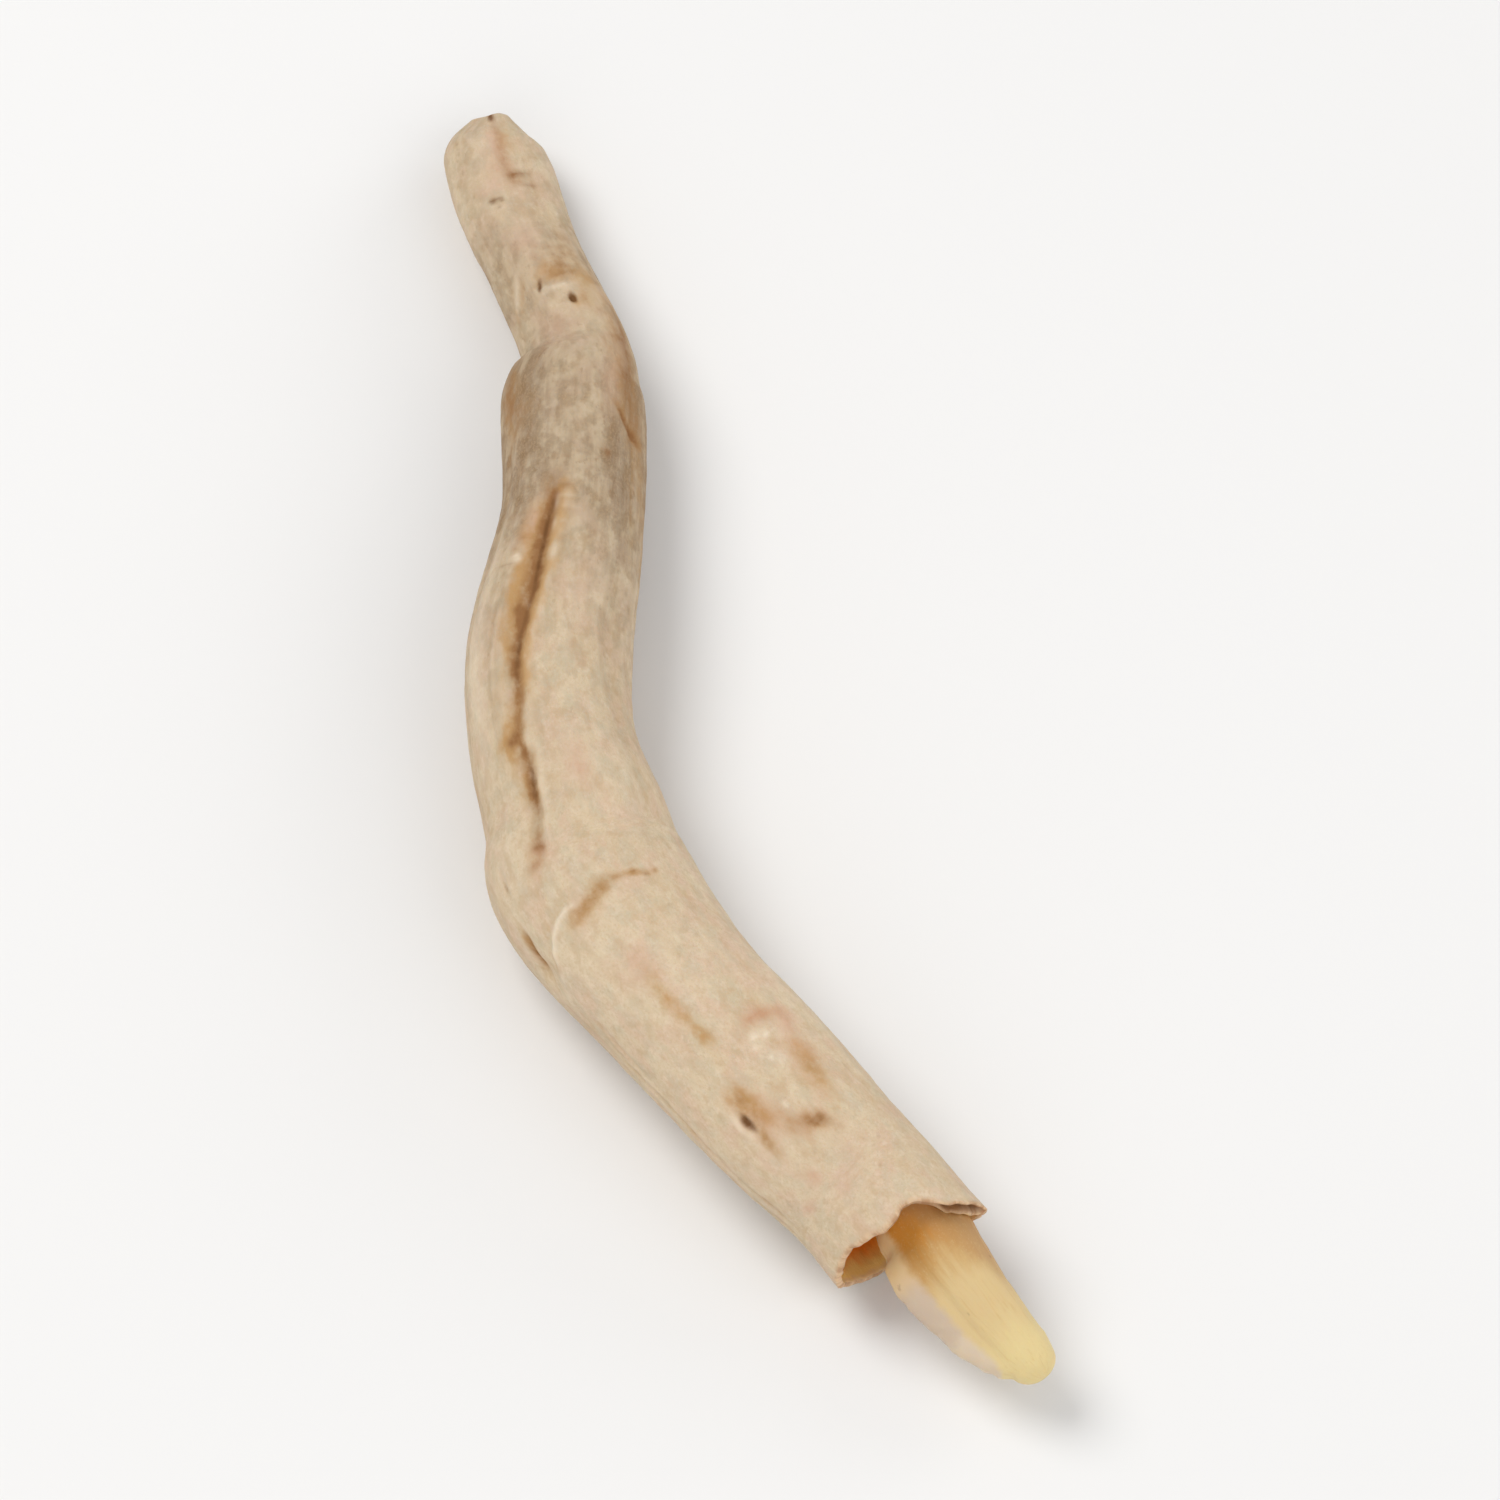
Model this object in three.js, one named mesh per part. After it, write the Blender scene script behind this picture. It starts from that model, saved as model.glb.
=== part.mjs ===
// A dried shatavari root lying on a surface. Its cortex is a wrinkled hollow sleeve, cut off at the top end
// and torn open at the other, where the pale woody core comes out of it. The core runs the whole length.
//
// Millimetres, +Z up, the surface is z = 0 and the origin is under the middle of the root. "along" is the
// distance down the root from its top end, in mm. "turn" is the angle round it in degrees: 0 is its right
// side as seen from the broken end, 90 its upper side, 180 its left side and 270 its underside.

import * as THREE from 'three';
import { mergeVertices } from 'three/addons/utils/BufferGeometryUtils.js';

const { clamp, degToRad, euclideanModulo, lerp, smoothstep } = THREE.MathUtils;

// The sleeve's centre line and girth from the top end to just past the torn edge
const STATIONS = [
  { x: -9.85, y: 28.1, z: 2.0, wide: 4.0 },
  { x: -9.7, y: 26.25, z: 1.8, wide: 4.1 },
  { x: -8.85, y: 23.25, z: 2.0, wide: 4.2 },
  { x: -7.65, y: 20.0, z: 2.5, wide: 4.1 },
  { x: -6.3, y: 16.35, z: 2.85, wide: 4.3 },
  { x: -6.4, y: 13.95, z: 3.2, wide: 5.5 },
  { x: -6.45, y: 8.65, z: 3.4, wide: 5.8 },
  { x: -7.2, y: 2.65, z: 3.55, wide: 6.3 },
  { x: -6.95, y: -1.9, z: 3.4, wide: 6.6 },
  { x: -6.0, y: -5.3, z: 3.3, wide: 7.0 },
  { x: -5.5, y: -7.4, z: 3.2, wide: 7.4 },
  { x: -4.3, y: -9.85, z: 3.45, wide: 7.4 },
  { x: -2.0, y: -13.1, z: 3.65, wide: 6.9 },
  { x: 0.05, y: -15.55, z: 3.65, wide: 6.7 },
  { x: 2.65, y: -18.45, z: 3.4, wide: 6.5 },
  { x: 4.75, y: -20.55, z: 2.9, wide: 6.3 },
  { x: 6.45, y: -22.85, z: 2.95, wide: 6.15 },
  { x: 7.8, y: -24.6, z: 2.95, wide: 6.1 },
];
const FLATTENING = 0.9; // thickness as a share of the width

// The root touches the surface at three low points round its weight, each with a flat foot of a small
// radius. Elsewhere the underside is softly flattened and stays clear of it.
const LOW_POINTS = [
  { x: -9.47, y: 24.9, foot: 0.62 },
  { x: -6.36, y: -7.05, foot: 0.1 },
  { x: 5.18, y: -20.3, foot: 0.1 },
];
const LOW_POINT_SIZE = 0.42;
const UNDERSIDE = { clearance: 0.15, softness: 0.3, top: 1.5 };

// Top end: a blunt cut with a bevel round it and a small notch in its upper side
const TOP_END = { bevel: 1.6, faceShare: 0.52 };
const TOP_NOTCH = { turn: 97, width: 0.4, depth: 0.3, reach: 2.4 };

// Torn edge of the sleeve: [turn, along] round the rim, with a longer lip on the right
const TORN_EDGE = [
  [20, 57.15], [42, 57.05], [62, 56.85], [88, 56.0], [108, 56.25], [148, 55.8],
  [189, 55.85], [228, 55.5], [265, 55.4], [310, 56.2],
];
const TEAR_REACH = 8; // how far up the sleeve the rows lean with the torn edge
const RIM_WALL = 0.5; // wall at the torn edge

// The core: [distance from the top end, radius], and its gap to the bore. Where the bore is hollow it lies
// against the right and upper side, and then it leaves the sleeve.
const CORE_RADII = [
  [0, 0.5], [3, 0.8], [12, 1.0], [18, 1.25], [28, 1.4], [46, 1.46], [55.5, 1.46], [57.6, 1.41], [60, 1.25],
  [62.2, 1.07], [63.1, 0.86], [63.7, 0.42],
];
const CORE_GAP = 0.35;
const CORE_SHIFT = { sideways: 0.95, lift: 0.35, from: 44, to: 56 };
const CORE_OUTSIDE = [
  { x: 8.06, y: -23.74, z: 3.2 },
  { x: 9.29, y: -25.56, z: 3.0 },
  { x: 10.65, y: -27.2, z: 2.7 },
  { x: 11.5, y: -28.21, z: 2.5 },
];

// A rest of the inner skin that clings to the core's left flank: [along, how far it stands out], its turn,
// and half the width of its flat top and of its whole foot
const SHELF = {
  out: [
    [55.3, 0], [56.3, 0.5], [57.1, 0.95], [58.6, 0.98], [60.6, 0.8], [61.7, 0.58], [62.4, 0.3], [62.9, 0],
  ],
  turn: degToRad(201),
  flat: degToRad(4),
  spread: degToRad(38),
};

// Where the bore widens from the core's gap to the thin wall of the rim
const HOLLOW = { from: 46, to: 53.5 };

// Ledges: edges of an outer layer of skin. The surface steps up over twice the rise and sinks back in
// runOut. The edge bows down the root at both sides of its turn, and fades beyond its reach.
const LEDGES = [
  { along: 9.9, bow: 1.5, turn: 92, reach: 16, fade: 12, height: 0.1, rise: 0.3, runOut: 1.2 },
  { along: 38.8, bow: 0.5, turn: 108, reach: 38, fade: 30, height: 0.17, rise: 0.35, runOut: 3.2 },
];

// Fissure: a dried crack that runs down the left of the upper side, with a raised lip on its right. It drifts
// in degrees per mm and wanders by a few degrees, in waves.
const FISSURE = {
  from: 18.5,
  to: 37,
  fade: 4,
  turn: 99,
  drift: 1.35,
  wander: 2,
  waves: 1.1,
  width: 0.36,
  depth: 0.32,
};
const FISSURE_LIP = { across: -0.7, width: 0.45, height: 0.07 };

// Soft folds along the skin: turn where each starts, its drift in degrees per mm, and its place and size
const UPPER_FOLDS = [
  { turn: 58, drift: 0.3, from: 1, to: 10, width: 0.45, depth: 0.1 },
  { turn: 138, drift: -0.4, from: 2, to: 12, width: 0.4, depth: 0.09 },
  { turn: 66, drift: 0.2, from: 14, to: 31, width: 0.7, depth: 0.05 },
  { turn: 30, drift: 0.5, from: 12, to: 38, width: 0.6, depth: 0.1 },
  { turn: 152, drift: 0.3, from: 13, to: 27, width: 0.5, depth: 0.12 },
  { turn: 112, drift: -0.6, from: 41, to: 49, width: 0.5, depth: 0.07 },
  { turn: 72, drift: 0.3, from: 43, to: 52, width: 0.6, depth: 0.07 },
  { turn: 20, drift: 0.4, from: 40, to: 52, width: 0.6, depth: 0.09 },
];
const FOLD_FADE = 4; // length over which a fold fades at each end

// The underside isn't seen: its folds are drawn at random, each a little longer or shorter than the next
const UNDER_FOLDS = {
  count: 8, first: 205, last: 345, seed: 11,
  start: [2, 28], length: [16, 28], drift: [-0.4, 0.4], width: [0.48, 0.78], depth: [0.144, 0.264],
};

// Slow swellings round the girth, so that the sleeve doesn't look turned: waves round it and per mm along
const SWELLINGS = [
  { height: 0.08, round: 2, along: 0.55, start: 0 },
  { height: 0.06, round: -3, along: 0.31, start: 1 },
];
const PLAIN_END = [-1, 1.5]; // the relief grows over this stretch at the top end

// Small dents and swellings: place, size over the skin and height
const DENTS = [
  { along: 9.73, turn: 108, size: 0.35, height: -0.2 },
  { along: 10.8, turn: 80, size: 0.35, height: -0.25 },
  { along: 49.2, turn: 132, size: 0.4, height: -0.26 },
  { along: 39.4, turn: 172, size: 0.9, height: -0.3 },
  { along: 35.8, turn: 165, size: 2.2, height: 0.25 },
];

// Facets: sides round each piece, with those of the cortex crowded towards one column that runs down the
// fissure, and the spacing of the rows, finer over the listed stretches
const CORTEX_SIDES = 40;
const CORE_SIDES = 20;
const CROWDING = { share: 0.3, turn: degToRad(108) };
const ROW_STEP = 0.75;
const FINE_ROWS = [[0, 2, 0.4], [9, 15, 0.5], [38, 41, 0.4], [53, 58, 0.5]];
const BORE_STEP = 2.4;
const CORE_STEP = 1.9;
const FINE_CORE_ROWS = [[55, 60, 1.1], [60, 63, 0.6], [63, 64, 0.25]];
const CORE_LINE_STEP = 4; // between the places that the core's line takes from the sleeve's

const OUTSIDE = 2; // radius of the outer wall in the plain tube that is bent into the sleeve
const BORE = 1; // radius of its inner wall

function lineThrough(places) {
  const points = places.map(({ x, y, z }) => new THREE.Vector3(x, y, z));
  const line = new THREE.CatmullRomCurve3(points, false, 'catmullrom', 0.5);
  line.arcLengthDivisions = 1200;
  return line;
}

const CENTRE_LINE = lineThrough(STATIONS);
const GIRTH_LINE = lineThrough(STATIONS.map(({ wide }) => ({ x: wide, y: 0, z: 0 })));
const SLEEVE_LENGTH = CENTRE_LINE.getLength();

// Middle of the root at a distance along a line, with the directions to its right side and its upper side
function sectionOf(line, along) {
  const share = clamp(along / line.getLength(), 0, 1);
  const at = line.getUtoTmapping(share);
  const ahead = line.getTangent(at);
  const side = new THREE.Vector3(-ahead.y, ahead.x, 0).normalize();
  const up = new THREE.Vector3().crossVectors(ahead, side);
  return { at, middle: line.getPoint(at), side, up };
}

function onSection({ middle, side, up }, across, height) {
  return middle.clone().addScaledVector(side, across).addScaledVector(up, height);
}

// Angle from b to a, the short way round
function turnFrom(a, b) {
  return euclideanModulo(a - b + Math.PI, 2 * Math.PI) - Math.PI;
}

// Value at x of a list of [x, value] pairs, eased from each pair to the next
function valueAt(pairs, x) {
  const passed = pairs.filter(([at]) => at <= x).length;
  const next = clamp(passed, 1, pairs.length - 1);
  const [[x0, v0], [x1, v1]] = [pairs[next - 1], pairs[next]];
  return lerp(v0, v1, smoothstep(x, x0, x1));
}

function tornEdge(turn) {
  const first = TORN_EDGE[0];
  const round = [...TORN_EDGE, [first[0] + 360, first[1]]];
  return valueAt(round, first[0] + euclideanModulo(turn * THREE.MathUtils.RAD2DEG - first[0], 360));
}

// Plain repeatable random numbers from 0 to 1
function randomFrom(seed) {
  let state = seed;
  return () => {
    state = (state * 16807) % 2147483647;
    return state / 2147483647;
  };
}

function underFolds() {
  const { count, first, last, seed } = UNDER_FOLDS;
  const random = randomFrom(seed);
  const drawn = (range) => lerp(range[0], range[1], random());
  return Array.from({ length: count }, (_, i) => {
    const from = drawn(UNDER_FOLDS.start);
    return {
      turn: lerp(first, last, (i + drawn([0.2, 0.8])) / count),
      drift: drawn(UNDER_FOLDS.drift),
      from,
      to: from + drawn(UNDER_FOLDS.length),
      width: drawn(UNDER_FOLDS.width),
      depth: drawn(UNDER_FOLDS.depth),
    };
  });
}

const FOLDS = [...UPPER_FOLDS, ...underFolds()];

function hump(distance, width) {
  return Math.exp(-((distance / width) ** 2));
}

// 1 between from and to, eased to 0 over the given distance at each end
function between(x, from, to, ease) {
  return smoothstep(x, from, from + ease) * (1 - smoothstep(x, to - ease, to));
}

function foldRelief(fold, along, turn, radius) {
  const middle = degToRad(fold.turn + fold.drift * (along - fold.from));
  const across = turnFrom(turn, middle) * radius;
  return -fold.depth * hump(across, fold.width) * between(along, fold.from, fold.to, FOLD_FADE);
}

function ledgeRelief(ledge, along, turn) {
  const off = turnFrom(turn, degToRad(ledge.turn));
  const below = along - ledge.along - ledge.bow * (1 - Math.cos(off));
  const step = smoothstep(below, -ledge.rise, ledge.rise) * Math.exp(-Math.max(below, 0) / ledge.runOut);
  const reach = 1 - smoothstep(Math.abs(off), degToRad(ledge.reach), degToRad(ledge.reach + ledge.fade));
  return ledge.height * step * reach;
}

// Turn of the fissure's middle, held where it is beyond its two ends
function fissureTurn(along) {
  const { from, to, turn, drift, wander, waves } = FISSURE;
  return degToRad(turn + drift * (clamp(along, from, to) - from) + wander * Math.sin(waves * along));
}

function fissureRelief(along, turn, radius) {
  const { from, to, fade, width, depth } = FISSURE;
  const across = turnFrom(turn, fissureTurn(along)) * radius;
  const lip = FISSURE_LIP.height * hump(across - FISSURE_LIP.across, FISSURE_LIP.width);
  return between(along, from, to, fade) * (lip - depth * hump(across, width));
}

function dentRelief(dent, along, turn, radius) {
  const across = turnFrom(turn, degToRad(dent.turn)) * radius;
  return dent.height * hump(Math.hypot(across, along - dent.along), dent.size);
}

function notchRelief(along, turn, radius) {
  const { width, depth, reach } = TOP_NOTCH;
  const across = turnFrom(turn, degToRad(TOP_NOTCH.turn)) * radius;
  return -depth * hump(across, width) * (1 - smoothstep(along, 0, reach));
}

function swellingRelief(swelling, along, turn) {
  return swelling.height * Math.sin(swelling.along * along + swelling.round * turn + swelling.start);
}

// How far the skin stands out from the plain oval section
function relief(along, turn, radius) {
  let height = 0;
  for (const swelling of SWELLINGS) height += swellingRelief(swelling, along, turn);
  for (const fold of FOLDS) height += foldRelief(fold, along, turn, radius);
  for (const ledge of LEDGES) height += ledgeRelief(ledge, along, turn);
  for (const dent of DENTS) height += dentRelief(dent, along, turn, radius);
  height += fissureRelief(along, turn, radius);
  height += notchRelief(along, turn, radius);
  return height * smoothstep(along, ...PLAIN_END);
}

// Share of the full width that the bevelled top end has at a place along
function bevelShare(along) {
  const rise = Math.sin((Math.PI / 2) * clamp(along / TOP_END.bevel, 0, 1));
  return lerp(TOP_END.faceShare, 1, rise);
}

function skinPoint(along, turn, inset) {
  const section = sectionOf(CENTRE_LINE, along);
  const radius = GIRTH_LINE.getPoint(section.at).x / 2;
  const out = relief(along, turn, radius) - inset;
  const share = bevelShare(along);
  const across = (radius * share + out) * Math.cos(turn);
  const height = (radius * FLATTENING * share + out) * Math.sin(turn);
  return onSection(section, across, height);
}

// How far the core lies off the sleeve's centre line, to the right and up
function coreOffset(along) {
  const share = smoothstep(along, CORE_SHIFT.from, CORE_SHIFT.to);
  return [CORE_SHIFT.sideways * share, CORE_SHIFT.lift * share];
}

function borePoint(along, turn) {
  const radius = valueAt(CORE_RADII, along) + CORE_GAP;
  const [sideways, lift] = coreOffset(along);
  const section = sectionOf(CENTRE_LINE, along);
  const round = onSection(section, sideways + radius * Math.cos(turn), lift + radius * Math.sin(turn));
  return round.lerp(skinPoint(along, turn, RIM_WALL), smoothstep(along, HOLLOW.from, HOLLOW.to));
}

// Rows of the plain tube lean with the torn edge towards the broken end
function leanToTear(along, turn) {
  const weight = smoothstep(along, SLEEVE_LENGTH - TEAR_REACH, SLEEVE_LENGTH);
  return along + weight * (tornEdge(turn) - SLEEVE_LENGTH);
}

// Height of a point of the skin once its underside is flattened and drawn down to the low points
function settledHeight({ x, y, z }) {
  const { clearance, softness, top } = UNDERSIDE;
  const raised = (z + clearance + Math.hypot(z - clearance, softness)) / 2;
  const drawn = LOW_POINTS.map((low) => (
    hump(Math.max(Math.hypot(x - low.x, y - low.y) - low.foot, 0), LOW_POINT_SIZE)
  ));
  return z < top ? raised * (1 - Math.max(...drawn)) : raised;
}

// Place in the sleeve of a point of the plain tube
function cortexPoint(tubeRadius, tubeAlong, evenTurn) {
  const fromColumn = evenTurn - CROWDING.turn;
  const turn = fissureTurn(tubeAlong) + fromColumn - CROWDING.share * Math.sin(fromColumn);
  const along = leanToTear(tubeAlong, turn);
  const outer = skinPoint(along, turn, 0);
  outer.z = settledHeight(outer);
  return borePoint(along, turn).lerp(outer, (tubeRadius - BORE) / (OUTSIDE - BORE));
}

// Distances from start to end in even steps, with finer ones in the listed stretches
function rowsBetween(start, end, step, fine = []) {
  const rows = [start];
  for (let along = start; along < end - step / 2;) {
    const stretch = fine.find(([from, to]) => along >= from && along < to);
    along += stretch ? stretch[2] : step;
    rows.push(Math.min(along, end));
  }
  rows[rows.length - 1] = end;
  return rows;
}

// Turns a profile of (radius, along) round the y axis and moves every corner of that plain body to its place
function bentLathe(profile, sides, place) {
  const geometry = new THREE.LatheGeometry(profile, sides);
  const corners = geometry.getAttribute('position');
  const corner = new THREE.Vector3();
  for (let i = 0; i < corners.count; i += 1) {
    corner.fromBufferAttribute(corners, i);
    const { x, y, z } = place(Math.hypot(corner.x, corner.z), corner.y, Math.atan2(corner.z, corner.x));
    corners.setXYZ(i, x, y, z);
  }
  geometry.deleteAttribute('normal');
  geometry.deleteAttribute('uv');
  const merged = mergeVertices(geometry);
  merged.computeVertexNormals();
  return merged;
}

function cortexGeometry() {
  const inside = rowsBetween(0, SLEEVE_LENGTH, BORE_STEP);
  const outside = rowsBetween(0, SLEEVE_LENGTH, ROW_STEP, FINE_ROWS).reverse();
  const profile = [
    ...inside.map((along) => new THREE.Vector2(BORE, along)),
    ...outside.map((along) => new THREE.Vector2(OUTSIDE, along)),
  ];
  profile.push(profile[0].clone());
  return bentLathe(profile, CORTEX_SIDES, cortexPoint);
}

// The core follows the sleeve, moves to its right side near the torn edge and droops a little outside
function coreLine() {
  const inside = rowsBetween(0, CORE_SHIFT.to, CORE_LINE_STEP).map((along) => (
    onSection(sectionOf(CENTRE_LINE, along), ...coreOffset(along))
  ));
  return lineThrough([...inside, ...CORE_OUTSIDE]);
}

function shelfRelief(along, turn) {
  const off = Math.abs(turnFrom(turn, SHELF.turn));
  return valueAt(SHELF.out, along) * (1 - smoothstep(off, SHELF.flat, SHELF.spread));
}

// Place of a point of the plain core, whose profile has its own radius at every distance along
function corePoint(line, radius, along, turn) {
  const full = radius > 0 ? radius + shelfRelief(along, turn) : 0;
  return onSection(sectionOf(line, along), full * Math.cos(turn), full * Math.sin(turn));
}

function coreGeometry() {
  const line = coreLine();
  const length = line.getLength();
  const rows = rowsBetween(0, length, CORE_STEP, FINE_CORE_ROWS).reverse();
  const profile = [
    new THREE.Vector2(0, length),
    ...rows.map((along) => new THREE.Vector2(valueAt(CORE_RADII, along), along)),
    new THREE.Vector2(0, 0),
  ];
  return bentLathe(profile, CORE_SIDES, (radius, along, turn) => corePoint(line, radius, along, turn));
}

function named(name, geometry, color, roughness) {
  const mesh = new THREE.Mesh(geometry, new THREE.MeshStandardMaterial({ color, roughness, metalness: 0 }));
  mesh.name = name;
  return mesh;
}

const group = new THREE.Group();
group.add(named('cortex', cortexGeometry(), 0xdcc7a6, 0.75));
group.add(named('core', coreGeometry(), 0xe8d394, 0.55));

export default group;
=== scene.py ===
import math

import bpy
import numpy as np
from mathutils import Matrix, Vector, noise


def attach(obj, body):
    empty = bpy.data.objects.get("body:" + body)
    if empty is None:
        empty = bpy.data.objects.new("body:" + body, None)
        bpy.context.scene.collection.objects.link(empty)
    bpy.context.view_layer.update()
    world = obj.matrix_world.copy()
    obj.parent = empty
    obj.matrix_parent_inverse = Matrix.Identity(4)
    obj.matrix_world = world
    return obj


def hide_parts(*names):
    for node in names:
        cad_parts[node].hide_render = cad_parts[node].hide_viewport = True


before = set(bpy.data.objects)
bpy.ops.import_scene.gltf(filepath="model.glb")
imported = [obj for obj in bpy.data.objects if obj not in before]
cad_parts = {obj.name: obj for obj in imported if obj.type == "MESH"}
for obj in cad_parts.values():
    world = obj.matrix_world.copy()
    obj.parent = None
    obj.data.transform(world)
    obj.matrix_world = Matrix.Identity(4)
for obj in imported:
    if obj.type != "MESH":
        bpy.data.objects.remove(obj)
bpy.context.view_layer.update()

# A dried root on a pale floor. Sizes here are millimetres and angles degrees, and mm turns them into metres.
# "along" is the distance down the root from its cut top end. "turn" is the angle round it: 0 is its right
# side as seen from the torn end, 90 its upper side, 180 its left side and 270 its underside.
mm = 0.001


# small maths

def easeBetween(x, low, high):
    share = np.clip((x - low) / (high - low), 0, 1)
    return share * share * (3 - 2 * share)


# 1 between low and high, eased to 0 over the given distance at each end
def within(x, low, high, ease):
    return easeBetween(x, low, low + ease) * (1 - easeBetween(x, high - ease, high))


def hump(distance, width):
    return np.exp(-((distance / width) ** 2))


def lerp(a, b, share):
    return a + (b - a) * share


def unit(vectors):
    return vectors / np.linalg.norm(vectors, axis=-1, keepdims=True)


# Value at x of (x, value) pairs, eased from each pair to the next
def easeThrough(pairs, x):
    places, values = np.array(pairs, float).T
    step = np.clip(np.searchsorted(places, x, side="right"), 1, len(places) - 1)
    return lerp(values[step - 1], values[step], easeBetween(x, places[step - 1], places[step]))


# Angle from b to a in degrees, the short way round
def turnFrom(a, b):
    return (a - b + 180) % 360 - 180


# Distance round the root in mm, to the left from a turn
def roundFrom(turn, start, radius):
    return np.radians(turnFrom(turn, start)) * radius


# Noise from -1 to 1 at many points, with bumps of the given sizes across and along in mm
def bumpsAt(points, across, along, seed):
    moved = (points / np.array([across, across, along], float) + 31.7 * seed).reshape(-1, 3)
    values = np.array([noise.noise(Vector(p)) for p in moved])
    return values.reshape(points.shape[:-1])


# Repeatable draws from 0 to 1
def drawsFrom(seed):
    state = seed
    while True:
        state = state * 16807 % 2147483647
        yield state / 2147483647


# A point of a smooth curve through places, counted from 0 at the first place
def curveAt(places, at):
    ends = np.vstack([2 * places[0] - places[1], places, 2 * places[-1] - places[-2]])
    start = np.clip(np.floor(at).astype(int), 0, len(places) - 2)
    part = (at - start)[..., None]
    a, b, c, d = (ends[start + k] for k in range(4))
    leave, arrive = (c - a) / 2, (d - b) / 2
    cubic = (2 * b - 2 * c + leave + arrive) * part - 3 * b + 3 * c - 2 * leave - arrive
    return (cubic * part + leave) * part + b


# A centre line. A section of it gives its middle and the directions to the right and the upper side.
class BentLine:
    def __init__(self, places):
        self.places = np.array(places, float)
        self.at = np.linspace(0, len(places) - 1, 4001)
        steps = np.diff(curveAt(self.places, self.at), axis=0)
        self.run = np.concatenate([[0], np.cumsum(np.linalg.norm(steps, axis=1))])
        self.length = self.run[-1]

    def section(self, along):
        at = np.interp(along, self.run, self.at)
        nudge = 0.001
        before, after = np.maximum(at - nudge, 0), np.minimum(at + nudge, self.at[-1])
        ahead = unit(curveAt(self.places, after) - curveAt(self.places, before))
        side = unit(np.stack([-ahead[..., 1], ahead[..., 0], np.zeros_like(at)], -1))
        return curveAt(self.places, at), side, np.cross(ahead, side)


def onSection(middle, side, up, across, height):
    return middle + side * across[..., None] + up * height[..., None]


# The places of a surface as if the root were straight, for noise that follows its bends
def straightened(radius, turn, along):
    angle = np.radians(turn)
    return np.stack([radius * np.cos(angle), radius * np.sin(angle), along], -1)


# Distances from 0 to length, closer together round each (place, spread, how much closer)
def crowdedSteps(length, count, crowds):
    fine = np.linspace(0, length, 6001)
    density = 1 + sum(extra * hump(fine - place, spread) for place, spread, extra in crowds)
    passed = np.concatenate([[0], np.cumsum((density[1:] + density[:-1]) / 2)])
    return np.interp(np.linspace(0, passed[-1], count), passed, fine)


# the sleeve: dried, wrinkled cortex, hollow and torn open at its lower end

sleeve = {
    # x, y, z and width of the centre line, from the top end to just past the torn edge
    "stations": [
        (-9.85, 28.1, 2, 4), (-9.7, 26.25, 1.8, 4.1), (-8.85, 23.25, 2, 4.2), (-7.65, 20, 2.5, 4.1),
        (-6.3, 16.35, 2.85, 4.3), (-6.4, 13.95, 3.2, 5.5), (-6.45, 8.65, 3.4, 5.8), (-7.2, 2.65, 3.55, 6.3),
        (-6.95, -1.9, 3.4, 6.6), (-6, -5.3, 3.3, 7), (-5.5, -7.4, 3.2, 7.4), (-4.3, -9.85, 3.45, 7.4),
        (-2, -13.1, 3.65, 6.9), (0.05, -15.55, 3.65, 6.7), (2.65, -18.45, 3.4, 6.5),
        (4.75, -20.55, 2.9, 6.3), (6.45, -22.85, 2.95, 6.15), (7.8, -24.6, 2.95, 6.1),
    ],
    "thickness": 0.9,          # as a share of the width
    # It touches the floor at three low points: x, y and the radius of a flat foot. Elsewhere its underside is
    # softly flattened a little above the floor.
    "lowPoints": [(-9.47, 24.9, 0.62), (-6.36, -7.05, 0.1), (5.18, -20.3, 0.1)],
    "lowPointSize": 0.42,
    "clearance": 0.15, "softness": 0.3, "undersideTop": 1.5,
    "topBevel": 1.6,
    "topFace": 0.52,           # width of the cut face as a share of the full width
    # how far along the torn edge reaches at each turn
    "tornEdge": [
        (20, 57.15), (42, 57.05), (62, 56.85), (88, 56), (108, 56.25), (148, 55.8), (189, 55.85),
        (228, 55.5), (265, 55.4), (310, 56.2), (380, 57.15),
    ],
    "tearReach": 8,            # the rows lean with the torn edge over this length
    "raggedness": 0.1,
    "wallAtTear": 0.3, "wallInside": 0.5, "wallUneven": 0.04,
    "wallThickens": (0.2, 3),  # distances from the tear
    "boreGap": (0.06, 0.3),    # between core and bore, at the cut top end and further down
    "boreOpens": (0.5, 3),     # it gets wider over this stretch
    "hollow": (46, 53.5),      # the bore widens over this stretch to the thin wall of the torn end
    "rows": 400, "columns": 218,
    "rowCrowds": [(0, 1.2, 1.0), (10, 1.6, 0.6), (39, 1.4, 0.7), (49.2, 0.8, 0.5), (57.5, 2.0, 1.0)],
    # the columns are closer together at the fissure: how much, from and to, turn at its start, drift per mm
    "columnCrowd": (0.42, 18.5, 37, 99, 1.35),
    "faceRows": 7, "boreRows": 26,
    "boreCrowd": 1.8,          # how much closer together the bore's rows are at the tear
    # rows of the torn rim: share of the wall's thickness, how far it stands out, the same where it has split
    "rim": [
        (0.1, 0.02, 0.03), (0.22, 0.05, 0), (0.34, 0.06, -0.3), (0.62, 0.06, -0.35), (0.76, 0.05, -0.04),
        (0.9, 0.03, 0),
    ],
    "splitTurn": 44, "splitReach": 30, "splitFade": 16, "splitWall": 0.3, "splitThins": (0.3, 2),
    # noise of the torn edge and of the cut face, and the height of the face's relief
    "nicks": (0.28, 0.28, 6), "fineNicks": (0.1, 0.1, 7), "fineShare": 0.6,
    "faceGrain": (0.35, 0.35, 8), "faceRough": 0.06, "faceBulge": 0.05,
}

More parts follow.
